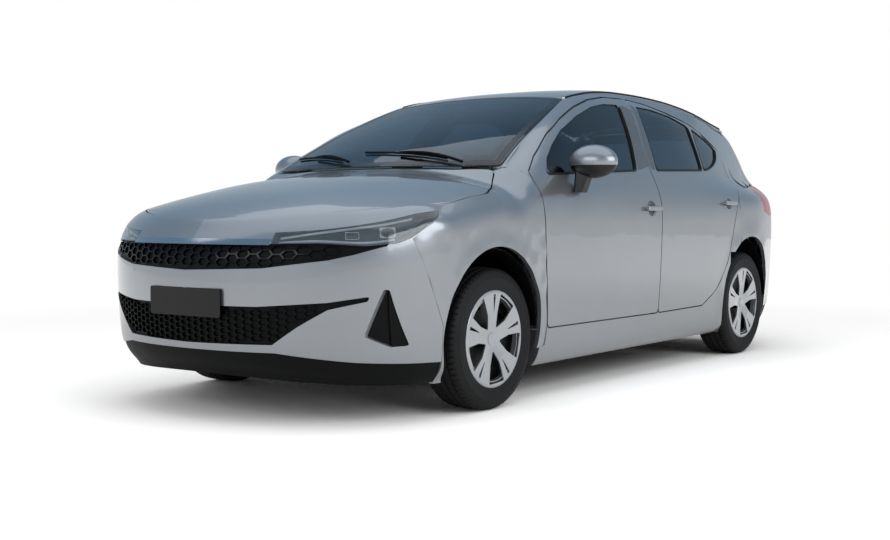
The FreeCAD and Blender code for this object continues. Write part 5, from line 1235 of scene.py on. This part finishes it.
class HATCHBACK_OT_lamps(bpy.types.Operator):
    """Puts the light guides, bezels and projectors behind the lamp lenses"""
    bl_idname = "hatchback.lamps"
    bl_label = "Lamp internals"
    bl_options = {"REGISTER", "UNDO"}

    def execute(self, context):
        make_lamp_internals()
        return {"FINISHED"}


class HATCHBACK_OT_garnish(bpy.types.Operator):
    """Lays the dark films on the door pillars and draws the fuel flap's gap as a black strip of painted
    shade
    """
    bl_idname = "hatchback.garnish"
    bl_label = "Garnish"
    bl_options = {"REGISTER", "UNDO"}

    def execute(self, context):
        make_garnish()
        return {"FINISHED"}


class HATCHBACK_OT_ditches(bpy.types.Operator):
    """Lays the rubber mouldings along the roof"""
    bl_idname = "hatchback.ditches"
    bl_label = "Roof ditches"
    bl_options = {"REGISTER", "UNDO"}

    def execute(self, context):
        make_ditch()
        return {"FINISHED"}


class HATCHBACK_OT_screen_band(bpy.types.Operator):
    """Prints the black band round the windscreen"""
    bl_idname = "hatchback.screen_band"
    bl_label = "Screen band"
    bl_options = {"REGISTER", "UNDO"}

    def execute(self, context):
        make_screen_band()
        return {"FINISHED"}


class HATCHBACK_OT_cabin_trim(bpy.types.Operator):
    """Fits the door cards, the headliner and the rear-view mirror"""
    bl_idname = "hatchback.cabin_trim"
    bl_label = "Cabin trim"
    bl_options = {"REGISTER", "UNDO"}

    def execute(self, context):
        make_door_cards()
        make_headliner()
        make_rear_view_mirror()
        return {"FINISHED"}


class HATCHBACK_OT_mirror_glass(bpy.types.Operator):
    """Puts the silvered glass in the door mirrors"""
    bl_idname = "hatchback.mirror_glass"
    bl_label = "Mirror glass"
    bl_options = {"REGISTER", "UNDO"}

    def execute(self, context):
        make_mirror_glass()
        return {"FINISHED"}


class HATCHBACK_OT_caps(bpy.types.Operator):
    """Fits the wheel covers' centre caps"""
    bl_idname = "hatchback.caps"
    bl_label = "Centre caps"
    bl_options = {"REGISTER", "UNDO"}

    def execute(self, context):
        make_caps()
        return {"FINISHED"}


class HATCHBACK_OT_wipers(bpy.types.Operator):
    """Lays the two wipers on the windscreen"""
    bl_idname = "hatchback.wipers"
    bl_label = "Wipers"
    bl_options = {"REGISTER", "UNDO"}

    def execute(self, context):
        make_wipers()
        return {"FINISHED"}


class HATCHBACK_OT_plates(bpy.types.Operator):
    """Hangs the blank front number plate panel"""
    bl_idname = "hatchback.plates"
    bl_label = "Front plate"
    bl_options = {"REGISTER", "UNDO"}

    def execute(self, context):
        make_plates()
        return {"FINISHED"}


class HATCHBACK_OT_rear_fittings(bpy.types.Operator):
    """Fits the rear wiper, the blank rear plate and the tailgate grip"""
    bl_idname = "hatchback.rear_fittings"
    bl_label = "Rear fittings"
    bl_options = {"REGISTER", "UNDO"}

    def execute(self, context):
        make_rear_fittings()
        return {"FINISHED"}


class HATCHBACK_OT_seats(bpy.types.Operator):
    """Stuffs the seat pads and the rear bench"""
    bl_idname = "hatchback.seats"
    bl_label = "Upholstery"
    bl_options = {"REGISTER", "UNDO"}

    def execute(self, context):
        make_seats(context.scene.hatchback)
        return {"FINISHED"}


OPERATORS = (
    HATCHBACK_OT_finishes, HATCHBACK_OT_stage, HATCHBACK_OT_tyres, HATCHBACK_OT_grilles,
    HATCHBACK_OT_seals, HATCHBACK_OT_lamps, HATCHBACK_OT_garnish, HATCHBACK_OT_ditches,
    HATCHBACK_OT_screen_band, HATCHBACK_OT_cabin_trim, HATCHBACK_OT_mirror_glass, HATCHBACK_OT_caps,
    HATCHBACK_OT_wipers, HATCHBACK_OT_plates, HATCHBACK_OT_rear_fittings, HATCHBACK_OT_seats
)


class HATCHBACK_PT_panel(bpy.types.Panel):
    """Lists the car's makers and their sizes and colours"""
    bl_label = "Hatchback"
    bl_idname = "HATCHBACK_PT_panel"
    bl_space_type = "VIEW_3D"
    bl_region_type = "UI"
    bl_category = "Hatchback"

    def draw(self, context):
        column = self.layout.column()
        for name in HatchbackSettings.__annotations__:
            column.prop(context.scene.hatchback, name)
        for operator in OPERATORS:
            column.operator(operator.bl_idname)


def register():
    for one in (HatchbackSettings, *OPERATORS, HATCHBACK_PT_panel):
        bpy.utils.register_class(one)
    bpy.types.Scene.hatchback = PointerProperty(type=HatchbackSettings)


def unregister():
    del bpy.types.Scene.hatchback
    for one in (HATCHBACK_PT_panel, *reversed(OPERATORS), HatchbackSettings):
        bpy.utils.unregister_class(one)


def main():
    register()
    for operator in OPERATORS:
        group, name = operator.bl_idname.split(".")
        getattr(getattr(bpy.ops, group), name)()


if __name__ == "__main__":
    main()
